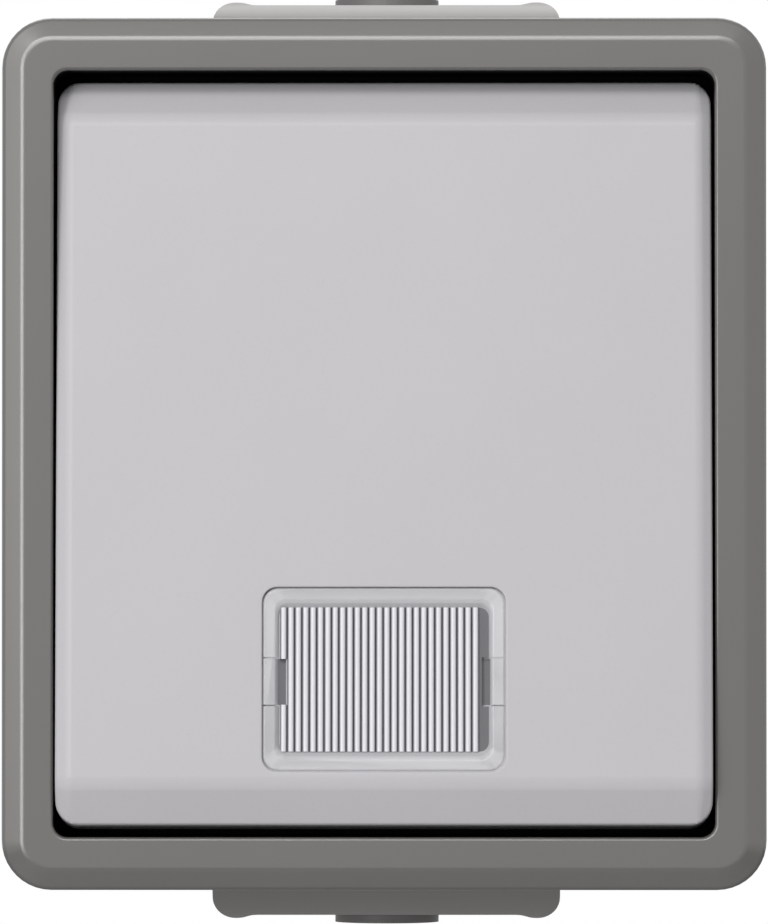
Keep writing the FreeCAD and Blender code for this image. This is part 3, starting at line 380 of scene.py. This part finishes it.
def ribbed_plastic(crest, painted_groove_shade, pitch, start):
    """Clear ribs over white film: white on each rib's crest, with painted shade, grey, in the
    hollows between the ribs.
    """
    found, tree, output = new_material("ribbed_polycarbonate")
    place = add_node(tree, "ShaderNodeTexCoord").outputs["Object"]
    centred = add_node(
        tree,
        "ShaderNodeMapping",
        inputs={
            "Vector": place,
            "Location": (-start / pitch, 0.0, 0.0),
            "Scale": (1 / pitch, 1.0, 1.0),
        },
    )
    across = add_node(tree, "ShaderNodeSeparateXYZ", inputs={"Vector": centred.outputs["Vector"]})
    wave = add_node(
        tree, "ShaderNodeMath", {"operation": "PINGPONG"}, {0: across.outputs["X"], 1: 0.5}
    )
    # Painted shade: the grey stays at the foot between the ribs, and the white fills each rib's
    # middle
    ramp = add_node(tree, "ShaderNodeValToRGB", inputs={"Fac": wave.outputs["Value"]})
    ramp.color_ramp.interpolation = "EASE"
    ramp.color_ramp.elements[0].position = 0.04
    ramp.color_ramp.elements[0].color = painted_groove_shade
    ramp.color_ramp.elements[1].position = 0.33
    ramp.color_ramp.elements[1].color = crest
    shader = add_node(
        tree,
        "ShaderNodeBsdfPrincipled",
        inputs={"Base Color": ramp.outputs["Color"], "Roughness": 0.3, "IOR": 1.585},
    )
    tree.links.new(shader.outputs["BSDF"], output.inputs["Surface"])
    return found


class Outline:
    """A rounded rectangle that lies at one height."""

    def __init__(self, size, radius, z, centre=(0.0, 0.0)):
        self.size = size
        self.radius = radius
        self.z = z
        self.centre = centre

    def grown(self, amount, z, rounder=True):
        """The outline this much larger all round, at another height."""
        size = [side + 2 * amount for side in self.size]
        radius = self.radius + amount if rounder else self.radius
        return Outline(size, radius, z, self.centre)

    def corner(self, point):
        """Middle of the corner arc that the point belongs to."""
        found = []
        for middle, side, along in zip(self.centre, self.size, point):
            found.append(middle + math.copysign(side / 2 - self.radius, along - middle))
        return Vector((*found, self.z))

    def carry(self, point, onward):
        """The place on the next outline that matches this point."""
        away = (point - self.corner(point)) / self.radius
        return onward.corner(point + self.offset(onward)) + away * onward.radius

    def offset(self, onward):
        """How far the next outline's middle lies from this one's."""
        return Vector([there - here for here, there in zip(self.centre, onward.centre)] + [0.0])


def ring(mesh, outline):
    """The vertices of an outline, joined by edges only."""
    corners = bmesh.ops.create_grid(mesh, x_segments=1, y_segments=1, size=0.5)["verts"]
    bmesh.ops.scale(mesh, verts=corners, vec=(*outline.size, 1.0))
    bmesh.ops.translate(mesh, verts=corners, vec=(*outline.centre, outline.z))
    made = bmesh.ops.bevel(
        mesh,
        geom=corners,
        offset=outline.radius,
        segments=CORNER_STEPS,
        profile=0.5,
        affect="VERTICES",
        material=-1,
    )
    face = made["verts"][0].link_faces[0]
    verts = list(face.verts)
    bmesh.ops.delete(mesh, geom=[face], context="FACES_ONLY")
    return verts


def edges_of(*rings):
    """The edges along each of these rings of vertices."""
    found = []
    for verts in rings:
        own = set(verts)
        near = dict.fromkeys(edge for vert in verts for edge in vert.link_edges)
        found += [edge for edge in near if own.issuperset(edge.verts)]
    return found


def skin(mesh, outlines, closed=False):
    """Walls from each outline to the next; gives every outline's vertices."""
    rings = [ring(mesh, outlines[0])]
    for here, onward in zip(outlines, outlines[1:] + outlines[:1] * closed):
        made = bmesh.ops.extrude_edge_only(mesh, edges=edges_of(rings[-1]))["geom"]
        verts = [part for part in made if isinstance(part, bmesh.types.BMVert)]
        for vert in verts:
            vert.co = here.carry(vert.co, onward)
        rings.append(verts)
    if closed:
        pairs = {}
        for vert in rings.pop():
            pairs[vert] = min(rings[0], key=lambda other: (other.co - vert.co).length)
        bmesh.ops.weld_verts(mesh, targetmap=pairs)
    return rings


def cap(mesh, verts):
    """A flat face inside a ring of vertices."""
    return bmesh.ops.edgeloop_fill(mesh, edges=edges_of(verts))["faces"]


def soften(mesh, edges, run, steps=EDGE_STEPS):
    """Rounds the edges, starting this far to each side of them."""
    bmesh.ops.bevel(
        mesh,
        geom=edges,
        offset=run,
        offset_type="OFFSET",
        segments=steps,
        profile=0.5,
        affect="EDGES",
        clamp_overlap=False,
        loop_slide=True,
        material=-1,
    )


def run_of(radius, turn):
    """How far a rounding of this radius reaches to each side of an edge that turns so much."""
    return radius * math.tan(turn / 2)


def add_piece(mesh, name, body, materials, stands_for=()):
    """Stands the mesh up, makes it an object and hands it to its body."""
    bmesh.ops.recalc_face_normals(mesh, faces=mesh.faces)
    mesh.transform(UPRIGHT)
    data = bpy.data.meshes.new(name)
    mesh.to_mesh(data)
    mesh.free()
    for found in materials:
        data.materials.append(found)
    data.shade_smooth()
    data.set_sharp_from_angle(angle=SMOOTH_BELOW)
    piece = bpy.data.objects.new(name, data)
    bpy.context.scene.collection.objects.link(piece)
    weighted = piece.modifiers.new("Flat faces stay flat", "WEIGHTED_NORMAL")
    weighted.keep_sharp = True
    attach(piece, body)
    if stands_for:
        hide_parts(*stands_for)


class SWITCH_OT_cover_frame(bpy.types.Operator):
    """Adds the dark grey cover frame"""

    bl_idname = "switch.cover_frame"
    bl_label = "Cover frame"

    def execute(self, context):
        sizes = settings().frame
        front = FRAME_HIGH.z
        back = FRAME_LOW.z
        span = FRAME_HIGH - FRAME_LOW
        ledge_top = SEAL_FOOT
        ledge_back = ledge_top - sizes.ledge_thickness
        hollow_top = front - sizes.front_wall
        outer = Outline(span.xy, sizes.corner, back)
        mouth = mouth_outline(front)
        hollow_corner = sizes.corner - sizes.wall
        mesh = bmesh.new()
        rings = skin(
            mesh,
            [
                outer,
                outer.grown(0.0, front - sizes.drop),
                outer.grown(-sizes.band, front),
                mouth,
                mouth.grown(0.0, front - sizes.sleeve_lip),
                mouth.grown(sizes.sleeve, front - sizes.sleeve_lip),
                mouth.grown(sizes.sleeve, ledge_top),
                mouth.grown(-sizes.ledge, ledge_top, rounder=False),
                mouth.grown(-sizes.ledge, ledge_back, rounder=False),
                mouth.grown(sizes.reveal, ledge_back),
                mouth.grown(sizes.reveal, hollow_top),
                outer.grown(-sizes.wall, hollow_top),
                outer.grown(-sizes.wall, GASKET_TOP),
                Outline(outer.grown(-sizes.skirt, back).size, sizes.box_corner, GASKET_TOP),
                Outline(outer.grown(-sizes.skirt, back).size, sizes.box_corner, back),
            ],
            closed=True,
        )
        slope = math.atan2(sizes.drop, sizes.band)
        soften(mesh, edges_of(rings[2]), run_of(sizes.crease, slope), CREASE_STEPS)
        soften(mesh, edges_of(rings[1]), run_of(sizes.shoulder, math.pi / 2 - slope))
        soften(mesh, edges_of(rings[3]), sizes.mouth_edge)
        soften(mesh, edges_of(rings[0], rings[7]), sizes.edge, FINE_STEPS)
        for side in (-1, 1):
            self.add_lug(mesh, sizes, side, ledge_back, ledge_top)
        # Satin weather-proof plastic, glossy enough for a bright line along each crease
        finish = moulded(
            "moulded_asa_dark_grey",
            settings().colours.housing,
            roughness=0.24,
            grain=0.22 * MM,
            depth=0.002 * MM,
            specular=0.9,
        )
        add_piece(mesh, "frame_cover", "housing", [finish], ["cover_frame"])
        return {"FINISHED"}

    def add_lug(self, mesh, sizes, side, low, high):
        """A round pad in the opening's corner, with the hole for its screw."""
        screws = laid_box("frame_screws")[1]
        place = (side * (screws.x - sizes.screw_head), side * (screws.y - sizes.screw_head))
        pad = Outline([2 * sizes.lug] * 2, sizes.lug * ROUND, low, place)
        bore = Outline([2 * sizes.lug_bore] * 2, sizes.lug_bore * ROUND, low, place)
        skin(mesh, [pad, pad.grown(0.0, high), bore.grown(0.0, high), bore], closed=True)


def mouth_outline(z):
    """The frame's opening."""
    sizes = settings().frame
    span = FRAME_HIGH - FRAME_LOW
    return Outline(
        (span.x - 2 * sizes.border_side, span.y - 2 * sizes.border_end), sizes.mouth_corner, z
    )


class SWITCH_OT_rocker(bpy.types.Operator):
    """Adds the light grey rocker, tilted as it rests"""

    bl_idname = "switch.rocker"
    bl_label = "Rocker"

    def slope_ends(self, mesh, sizes, height, face):
        """Cuts the bevels at top and bottom."""
        for side in (-1, 1):
            point = (0.0, side * (height / 2 - sizes.bevel_run), face)
            normal = (0.0, side * sizes.bevel_rise, sizes.bevel_run)
            cut = split(mesh, point, normal, clear=True)
            bmesh.ops.edgeloop_fill(mesh, edges=cut)

    def slope_sides(self, mesh, sizes, width, foot):
        """Lets the top fall away towards the left and right edges."""
        start = width / 2 - sizes.side_run
        for side in (-1, 1):
            split(mesh, (side * start, 0.0, 0.0), (1.0, 0.0, 0.0))
        for vert in mesh.verts:
            beyond = abs(vert.co.x) - start
            if beyond > 0 and vert.co.z > foot + LEVEL:
                vert.co.z -= sizes.side_drop * beyond / sizes.side_run

    def top_edges(self, mesh, foot):
        """Creases across and along the rocker's top, and the edges of the top at its walls."""
        mesh.normal_update()
        across, along, outline = [], [], []
        for edge in mesh.edges:
            leans = sorted(abs(face.normal.z) for face in edge.link_faces)
            above = min(vert.co.z for vert in edge.verts) > foot + LEVEL
            if above and len(leans) == 2 and leans[1] > TOP_LEAN:
                if leans[0] < WALL_LEAN:
                    outline.append(edge)
                elif edge.calc_face_angle() > CREASE_ABOVE:
                    start, end = [vert.co for vert in edge.verts]
                    level = abs(end.x - start.x) > abs(end.y - start.y)
                    (across if level else along).append(edge)
        return across, along, outline

    def round_top(self, mesh, sizes, foot):
        """Rounds the top's creases and outer edges; each rounding renews the list of edges."""
        end_slope = math.atan2(sizes.bevel_rise, sizes.bevel_run)
        side_slope = math.atan2(sizes.side_drop, sizes.side_run)
        roundings = (
            (run_of(sizes.crease, end_slope), CREASE_STEPS),
            (run_of(sizes.side_crease, side_slope), CREASE_STEPS),
            (sizes.shoulder, EDGE_STEPS),
        )
        for kind, (run, steps) in enumerate(roundings):
            soften(mesh, self.top_edges(mesh, foot)[kind], run, steps)

    def open_face(self, mesh, ring, height):
        """Opens the flat face round a ring of vertices that lies in it."""
        level = [
            face
            for face in mesh.faces
            if max(abs(vert.co.z - height) for vert in face.verts) < TOUCHING
        ]
        flat = max(level, key=lambda face: face.calc_area())
        border = list(flat.edges)
        bmesh.ops.delete(mesh, geom=[flat], context="FACES_ONLY")
        bmesh.ops.triangle_fill(
            mesh, edges=border + edges_of(ring), use_beauty=True, normal=(0.0, 0.0, 1.0)
        )

    def execute(self, context):
        sizes = settings().rocker
        window = settings().window
        width, height, face = rocker_span()
        rim = face - sizes.bevel_rise
        foot = rim - sizes.skirt
        ceiling = face - sizes.wall
        base = Outline((width, height), sizes.corner, foot)
        lean = 2 * sizes.draft * sizes.skirt / (sizes.skirt + sizes.bevel_rise)
        spread = Outline((width, height + lean), sizes.corner, foot)
        top = Outline((width, height + lean - 2 * sizes.draft), sizes.corner, face)
        rebate = lens_outline(window.fit, face)
        hole = lens_outline(window.fit - window.lip, face, window.body_corner)
        mesh = bmesh.new()
        walls = skin(mesh, [spread.grown(-sizes.wall, foot), spread, top])
        cap(mesh, walls[2])
        self.slope_ends(mesh, sizes, height, face)
        self.slope_sides(mesh, sizes, width, foot)
        self.round_top(mesh, sizes, foot)
        rings = skin(
            mesh,
            [
                rebate.grown(window.margin, face),
                rebate,
                rebate.grown(0.0, face - window.flange),
                hole.grown(0.0, face - window.flange),
                hole.grown(0.0, ceiling),
                base.grown(-sizes.bevel_run, ceiling, rounder=False),
                base.grown(-sizes.wall, ceiling - sizes.bevel_rise),
                spread.grown(-sizes.wall, foot),
            ],
        )
        bmesh.ops.remove_doubles(mesh, verts=walls[0] + rings[-1], dist=TOUCHING)
        self.open_face(mesh, rings[0], face)
        soften(mesh, edges_of(rings[1]), window.edge, steps=2)
        tilt_piece(mesh, sizes, rim)
        # Smooth light plastic whose even colour shows more than its gloss
        finish = moulded(
            "moulded_abs_light_grey",
            settings().colours.rocker,
            roughness=0.28,
            grain=0.3 * MM,
            depth=0.001 * MM,
            cloud=0.01,
            specular=0.15,
        )
        add_piece(mesh, "rocker_cap", "rocker_body", [finish], ["rocker"])
        return {"FINISHED"}


def rocker_span():
    """Width and height of the level rocker, and the height of its face."""
    frame_sizes = settings().frame
    sizes = settings().rocker
    width = FRAME_HIGH.x - FRAME_LOW.x - 2 * (frame_sizes.border_side + sizes.side_gap)
    height = FRAME_HIGH.y - FRAME_LOW.y - 2 * (frame_sizes.border_end + sizes.end_gap)
    return width, height, FRAME_HIGH.z - sizes.setback + sizes.bevel_rise


def lens_outline(amount, z, radius=None):
    """The lens's outline grown by this much, in its place on the rocker's face."""
    sizes = settings().window
    size = (sizes.width + 2 * amount, sizes.height + 2 * amount)
    centre = (0.0, sizes.foot - rocker_span()[1] / 2)
    return Outline(size, radius or sizes.corner, z, centre)


def tilt_piece(mesh, sizes, rim):
    """Turns a level piece about the rocker's axis to its place at rest."""
    axis = Vector((0.0, 0.0, rim - sizes.hinge_setback))
    turn = Matrix.Rotation(-sizes.tilt, 3, "X")
    bmesh.ops.rotate(mesh, verts=mesh.verts, cent=axis, matrix=turn)


class SWITCH_OT_window_lens(bpy.types.Operator):
    """Adds the clear ribbed lens in the rocker's window"""

    bl_idname = "switch.window_lens"
    bl_label = "Window lens"

    def execute(self, context):
        sizes = settings().window
        face = rocker_span()[2]
        underside = face - sizes.flange
        floor = face - sizes.pocket
        low = face - sizes.depth
        flange = lens_outline(0.0, underside)
        body = lens_outline(-sizes.lip, underside, sizes.body_corner)
        well = body.grown(-sizes.wall, low)
        rim = Outline(
            (flange.size[0] - 2 * sizes.border_side, flange.size[1] - 2 * sizes.border_end),
            sizes.pocket_corner,
            face,
            flange.centre,
        )
        field = Outline(
            (rim.size[0] - 2 * sizes.draft_side, rim.size[1] - 2 * sizes.draft_end),
            sizes.body_corner,
            floor,
            flange.centre,
        )
        mesh = bmesh.new()
        rings = skin(
            mesh,
            [
                well.grown(0.0, floor - sizes.web),
                well,
                body.grown(0.0, low),
                body,
                flange,
                flange.grown(0.0, face),
                rim,
                field,
            ],
        )
        cap(mesh, rings[0])
        cap(mesh, rings[-1])
        soften(mesh, edges_of(rings[5]), sizes.flange_edge)
        soften(mesh, edges_of(rings[6]), sizes.edge, FINE_STEPS)
        self.cut_tabs(mesh, sizes, flange, floor)
        self.shade_strip(mesh, sizes, floor)
        self.add_ribs(mesh, sizes, field)
        tilt_piece(mesh, settings().rocker, face - settings().rocker.bevel_rise)
        field_start = sizes.shift - sizes.ribs * sizes.pitch / 2
        colours = settings().colours
        # Clear flange and walls, white ribs with painted shade between them, and painted shade,
        # plain grey, where no rib stands and the pocket's wall keeps the light away
        finishes = [
            clear_plastic(),
            ribbed_plastic(colours.film, colours.painted_groove_shade, sizes.pitch, field_start),
            moulded("shaded_polycarbonate", colours.recess, 0.4, 0.25 * MM, 0.0, 0.1),
        ]
        add_piece(mesh, "lens", "rocker_body", finishes, ["window_lens"])
        return {"FINISHED"}

    def tab_rows(self, sizes, middle):
        """Heights of the edges of the two slits beside a tab, from the lowest up."""
        centre = middle - sizes.tab_drop
        reach = sizes.tab / 2
        cuts = (-reach - sizes.slit / 2, -reach + sizes.slit / 2)
        return [centre + cut for cut in cuts] + [centre - cut for cut in reversed(cuts)]

    def cut_tabs(self, mesh, sizes, flange, floor):
        """Slits across the flange and holes beside the pocket that free the two snap tabs."""
        rows = self.tab_rows(sizes, flange.centre[1])
        inner = flange.size[0] / 2 - sizes.lip - sizes.recess
        outer = flange.size[0] / 2 - sizes.lip
        for height in rows:
            split(mesh, (0.0, height, 0.0), (0.0, 1.0, 0.0))
        for across in (-outer, -inner, inner, outer):
            split(mesh, (across, 0.0, 0.0), (1.0, 0.0, 0.0))
        for side in (-1, 1):
            for low, high in (rows[:2], rows[2:]):
                slit = self.faces_within(mesh, side, inner, flange.size[0] / 2, low, high, floor)
                sink(mesh, slit, floor - sizes.web / 2)
            hole = self.faces_within(mesh, side, inner, outer, rows[1], rows[2], floor)
            for face in sink(mesh, hole, floor - sizes.web / 2):
                face.material_index = SHADED

    def shade_strip(self, mesh, sizes, floor):
        """Marks the pocket's floor right of the last rib, which lies in the wall's shade."""
        end = sizes.shift + sizes.ribs * sizes.pitch / 2
        split(mesh, (end, 0.0, 0.0), (1.0, 0.0, 0.0))
        for face in mesh.faces:
            middle = face.calc_center_median()
            if middle.x > end and abs(middle.z - floor) < TOUCHING:
                face.material_index = SHADED

    def faces_within(self, mesh, side, inner, outer, low, high, floor):
        """Faces that look forward between these bounds, on one side."""
        found = []
        for face in mesh.faces:
            middle = face.calc_center_median()
            if inner < side * middle.x < outer and low < middle.y < high:
                if middle.z > floor - LEVEL and abs(face.normal.z) > WALL_LEAN:
                    found.append(face)
        return found

    def add_ribs(self, mesh, sizes, field):
        """Rounded upright ribs side by side; the first stops above and below its tab's hole."""
        low = field.centre[1] - field.size[1] / 2
        high = field.centre[1] + field.size[1] / 2
        rows = self.tab_rows(sizes, field.centre[1])
        start = sizes.shift - sizes.ribs * sizes.pitch / 2
        for index in range(sizes.ribs):
            left = start + index * sizes.pitch
            if index == 0:
                self.add_rib(mesh, sizes, field.z, left, low, rows[1])
                self.add_rib(mesh, sizes, field.z, left, rows[2], high)
            else:
                self.add_rib(mesh, sizes, field.z, left, low, high)

    def add_rib(self, mesh, sizes, floor, left, low, high):
        """One bar with a round crest whose foot stands in the web."""
        grid = bmesh.ops.create_grid(mesh, x_segments=CREASE_STEPS, y_segments=1, size=0.5)
        bar = grid["verts"]
        for vert in bar:
            turn = math.pi * (vert.co.x + 0.5)
            vert.co.x = left + sizes.pitch * (1 - math.cos(turn)) / 2
            vert.co.y = low if vert.co.y < 0 else high
            vert.co.z = floor + sizes.rise * math.sin(turn)
        faces = list(dict.fromkeys(face for vert in bar for face in vert.link_faces))
        for face in faces:
            face.material_index = RIBBED
        made = bmesh.ops.extrude_face_region(mesh, geom=faces, use_keep_orig=True)
        for part in made["geom"]:
            if isinstance(part, bmesh.types.BMVert):
                part.co.z = floor - sizes.web / 2


def split(mesh, point, normal, clear=False):
    """New edges where a plane crosses the mesh, whose far side may be cleared away."""
    geometry = list(mesh.verts) + list(mesh.edges) + list(mesh.faces)
    made = bmesh.ops.bisect_plane(
        mesh,
        geom=geometry,
        dist=TOUCHING / 10,
        plane_co=point,
        plane_no=normal,
        clear_outer=clear,
    )["geom_cut"]
    return [part for part in made if isinstance(part, bmesh.types.BMEdge)]


def sink(mesh, faces, depth):
    """Lowers the faces to this height, with upright walls, and gives the new floor."""
    made = bmesh.ops.extrude_face_region(mesh, geom=faces)["geom"]
    for part in made:
        if isinstance(part, bmesh.types.BMVert):
            part.co.z = depth
    bmesh.ops.delete(mesh, geom=faces, context="FACES")
    return [part for part in made if isinstance(part, bmesh.types.BMFace)]


class SWITCH_OT_neck_seal(bpy.types.Operator):
    """Gives the black rubber tray round the rocker a soft, dull finish"""

    bl_idname = "switch.neck_seal"
    bl_label = "Neck seal"

    def execute(self, context):
        # Dull black that swallows the light in the gap round the rocker
        finish = moulded(
            "moulded_epdm_seal",
            settings().colours.seal,
            roughness=0.7,
            grain=0.25 * MM,
            depth=0.01 * MM,
            cloud=0.2,
            specular=0.1,
        )
        piece = frame["nodes"]["neck_seal"]
        piece.data.materials.clear()
        piece.data.materials.append(finish)
        return {"FINISHED"}


INNER_FINISHES = {
    "cover_gasket": "rubber",
    "upper_grommet": "grommet",
    "lower_grommet": "grommet",
    "base_box": "box",
    "label_inlay": "film",
    "insert_socket": "urea",
    "insert_cover": "urea",
    "rocker_cradle": "acetal",
    "plunger": "acetal",
    "lamp_holder": "holder",
    "glow_lamp": "glass",
    "lamp_resistor": "lacquer",
    "common_terminal": "brass",
    "upper_fixed_contact": "brass",
    "lower_fixed_contact": "brass",
    "neutral_terminal": "brass",
    "contact_seesaw": "brass",
    "lamp_pins": "brass",
    "fixed_rivets": "silver",
    "moving_rivets": "silver",
    "insert_screws": "zinc",
    "frame_screws": "zinc",
    "terminal_clamps": "zinc",
    "terminal_screws": "zinc",
    "plunger_spring": "spring",
}


class SWITCH_OT_inner_parts(bpy.types.Operator):
    """Gives the parts that keep their own shape their finishes"""

    bl_idname = "switch.inner_parts"
    bl_label = "Inner parts"

    def execute(self, context):
        colours = settings().colours
        grain = 0.25 * MM
        # Roughness, grain, its depth, cloud and specular: the box is satin like the frame, in a
        # lighter grey that is painted light on its bosses, rubber and grommets are dull, film,
        # urea and acetal are even whites, and the lamp is glossy
        finishes = {
            # The box's lighter grey is painted light on its bosses
            "box": moulded("moulded_asa_box_painted_light", colours.box, 0.33, grain, 0.004 * MM, 0.02, 0.9),
            "rubber": moulded(
                "moulded_epdm_black", colours.seal, 0.6, grain, 0.01 * MM, 0.2, 0.2
            ),
            "grommet": moulded("moulded_tpe_grey", colours.grommet, 0.5, grain, 0.01 * MM, 0.05),
            "film": moulded("printed_film_white", colours.film, 0.5, grain, 0.001 * MM),
            "urea": moulded("pressed_urea_white", linear("#DAD7CC"), 0.35, grain, 0.005 * MM),
            "acetal": moulded("moulded_acetal_white", linear("#E4E4DF"), 0.3, grain, 0.002 * MM),
            "holder": moulded("moulded_pc_natural", linear("#D5D8DA"), 0.2, grain, 0.001 * MM),
            "glass": moulded("blown_glass", linear("#E3C9AE"), 0.05, grain, 0.0),
            "lacquer": moulded("dipped_lacquer_tan", linear("#B59B76"), 0.4, grain, 0.004 * MM),
            "brass": metal("stamped_brass", linear("#D9B26A"), 0.3),
            "silver": metal("coined_silver", linear("#EDEBE6"), 0.25),
            "zinc": metal("zinc_plated_steel", linear("#C9CCD0"), 0.35),
            "spring": metal("drawn_spring_steel", linear("#B9BABC"), 0.3),
        }
        for node, key in INNER_FINISHES.items():
            piece = frame["nodes"][node]
            piece.data.materials.clear()
            piece.data.materials.append(finishes[key])
        return {"FINISHED"}


# Softboxes: name, degrees right of and above the camera's side, distance, width, height, radiance
LAMPS = (
    ("key_panel", -12, 23, 0.8, 0.5, 0.24, 4.6),
    ("upper_panel", -2, 32, 0.8, 0.6, 0.16, 4.2),
    ("left_strip", -26, 2, 0.8, 0.14, 0.34, 7.5),
    ("left_softbox", -36, 16, 0.8, 0.28, 0.6, 1.5),
    ("right_softbox", 95, 15, 0.8, 0.3, 0.6, 0.6),
    ("rear_softbox", 180, 55, 0.9, 0.7, 0.5, 1.8),
)
FILL = 0.15
FLOOR_DEPTH = 0.3
FLOOR_REACH = 1.2
CAMERA_LENS = 316.4
SENSOR_WIDTH = 36.0
CAMERA_PLACE = Vector((4.85 * MM, -0.7, -12 * MM))
CAMERA_AIM = Vector((0.0, 0.0, -0.74 * MM))


def add_lamp(name, azimuth, elevation, distance, width, height, radiance, target):
    """A softbox that faces the target, from degrees right of and above the camera's side."""
    data = bpy.data.lights.new(name, "AREA")
    data.shape = "RECTANGLE"
    data.size = width
    data.size_y = height
    data.energy = radiance * math.pi * width * height
    lamp = bpy.data.objects.new(name, data)
    turn = math.radians(azimuth)
    rise = math.radians(elevation)
    away = Vector(
        (math.sin(turn) * math.cos(rise), -math.cos(turn) * math.cos(rise), math.sin(rise))
    )
    lamp.location = target + away * distance
    lamp.rotation_euler = away.to_track_quat("Z", "Y").to_euler()
    bpy.context.scene.collection.objects.link(lamp)


class SWITCH_OT_stage(bpy.types.Operator):
    """Adds the floor, the lamps, the pale world and the camera"""

    bl_idname = "switch.stage"
    bl_label = "Stage"

    def execute(self, context):
        self.add_floor()
        self.add_world()
        front = Vector((0.0, -FRAME_HIGH.z, 0.0))
        for lamp in LAMPS:
            add_lamp(*lamp, front)
        self.add_camera(context, front)
        context.scene.view_settings.view_transform = "Standard"
        return {"FINISHED"}

    def add_floor(self):
        """A plain pale floor well below the part."""
        mesh = bmesh.new()
        sheet = bmesh.ops.create_grid(mesh, x_segments=1, y_segments=1, size=FLOOR_REACH)
        bmesh.ops.translate(mesh, verts=sheet["verts"], vec=(0.0, 0.0, -FLOOR_DEPTH))
        data = bpy.data.meshes.new("floor")
        mesh.to_mesh(data)
        mesh.free()
        found, tree, output = new_material("pale_floor")
        shader = add_node(
            tree,
            "ShaderNodeBsdfPrincipled",
            inputs={"Base Color": linear("#D4D4D4"), "Roughness": 0.9},
        )
        tree.links.new(shader.outputs["BSDF"], output.inputs["Surface"])
        data.materials.append(found)
        floor = bpy.data.objects.new("floor", data)
        bpy.context.scene.collection.objects.link(floor)

    def add_world(self):
        """White where the camera, gloss or glass looks at it, and a soft fill on the part."""
        world = bpy.data.worlds.new("pale_studio")
        world.use_nodes = True
        tree = world.node_tree
        tree.nodes.clear()
        path = add_node(tree, "ShaderNodeLightPath")
        seen = add_node(
            tree,
            "ShaderNodeMath",
            {"operation": "ADD"},
            {0: path.outputs["Is Camera Ray"], 1: path.outputs["Is Glossy Ray"]},
        )
        through = add_node(
            tree,
            "ShaderNodeMath",
            {"operation": "ADD", "use_clamp": True},
            {0: seen.outputs["Value"], 1: path.outputs["Is Transmission Ray"]},
        )
        strength = add_node(
            tree,
            "ShaderNodeMapRange",
            inputs={"Value": through.outputs["Value"], "To Min": FILL, "To Max": 1.0},
        )
        background = add_node(
            tree,
            "ShaderNodeBackground",
            inputs={"Color": (1.0, 1.0, 1.0, 1.0), "Strength": strength.outputs["Result"]},
        )
        output = add_node(tree, "ShaderNodeOutputWorld")
        tree.links.new(background.outputs["Background"], output.inputs["Surface"])
        bpy.context.scene.world = world

    def add_camera(self, context, front):
        """Seven tenths of a metre in front, a little right of and below the middle."""
        data = bpy.data.cameras.new("camera")
        data.lens = CAMERA_LENS
        data.sensor_width = SENSOR_WIDTH
        camera = bpy.data.objects.new("camera", data)
        camera.location = front + CAMERA_PLACE
        away = camera.location - (front + CAMERA_AIM)
        camera.rotation_euler = away.to_track_quat("Z", "Y").to_euler()
        context.scene.collection.objects.link(camera)
        context.scene.camera = camera


class SWITCH_PT_panel(bpy.types.Panel):
    """Lists the parts of the switch"""

    bl_idname = "SWITCH_PT_panel"
    bl_label = "Rocker switch"
    bl_space_type = "VIEW_3D"
    bl_region_type = "UI"
    bl_category = "Switch"

    def draw(self, context):
        for operator in OPERATORS:
            self.layout.operator(operator.bl_idname)
        for part in ("frame", "rocker", "window", "colours"):
            box = self.layout.box()
            group = getattr(settings(), part)
            for name in group.__annotations__:
                box.prop(group, name)


OPERATORS = (
    SWITCH_OT_cover_frame,
    SWITCH_OT_rocker,
    SWITCH_OT_window_lens,
    SWITCH_OT_neck_seal,
    SWITCH_OT_inner_parts,
    SWITCH_OT_stage,
)
CLASSES = (
    SWITCH_PG_frame,
    SWITCH_PG_rocker,
    SWITCH_PG_window,
    SWITCH_PG_colours,
    SWITCH_PG_parts,
    *OPERATORS,
    SWITCH_PT_panel,
)


def register():
    for found in CLASSES:
        bpy.utils.register_class(found)
    bpy.types.Scene.switch_parts = bpy.props.PointerProperty(type=SWITCH_PG_parts)


def unregister():
    del bpy.types.Scene.switch_parts
    for found in reversed(CLASSES):
        bpy.utils.unregister_class(found)


def main():
    register()
    bpy.ops.switch.cover_frame()
    bpy.ops.switch.rocker()
    bpy.ops.switch.window_lens()
    bpy.ops.switch.neck_seal()
    bpy.ops.switch.inner_parts()
    bpy.ops.switch.stage()


if __name__ == "__main__":
    main()
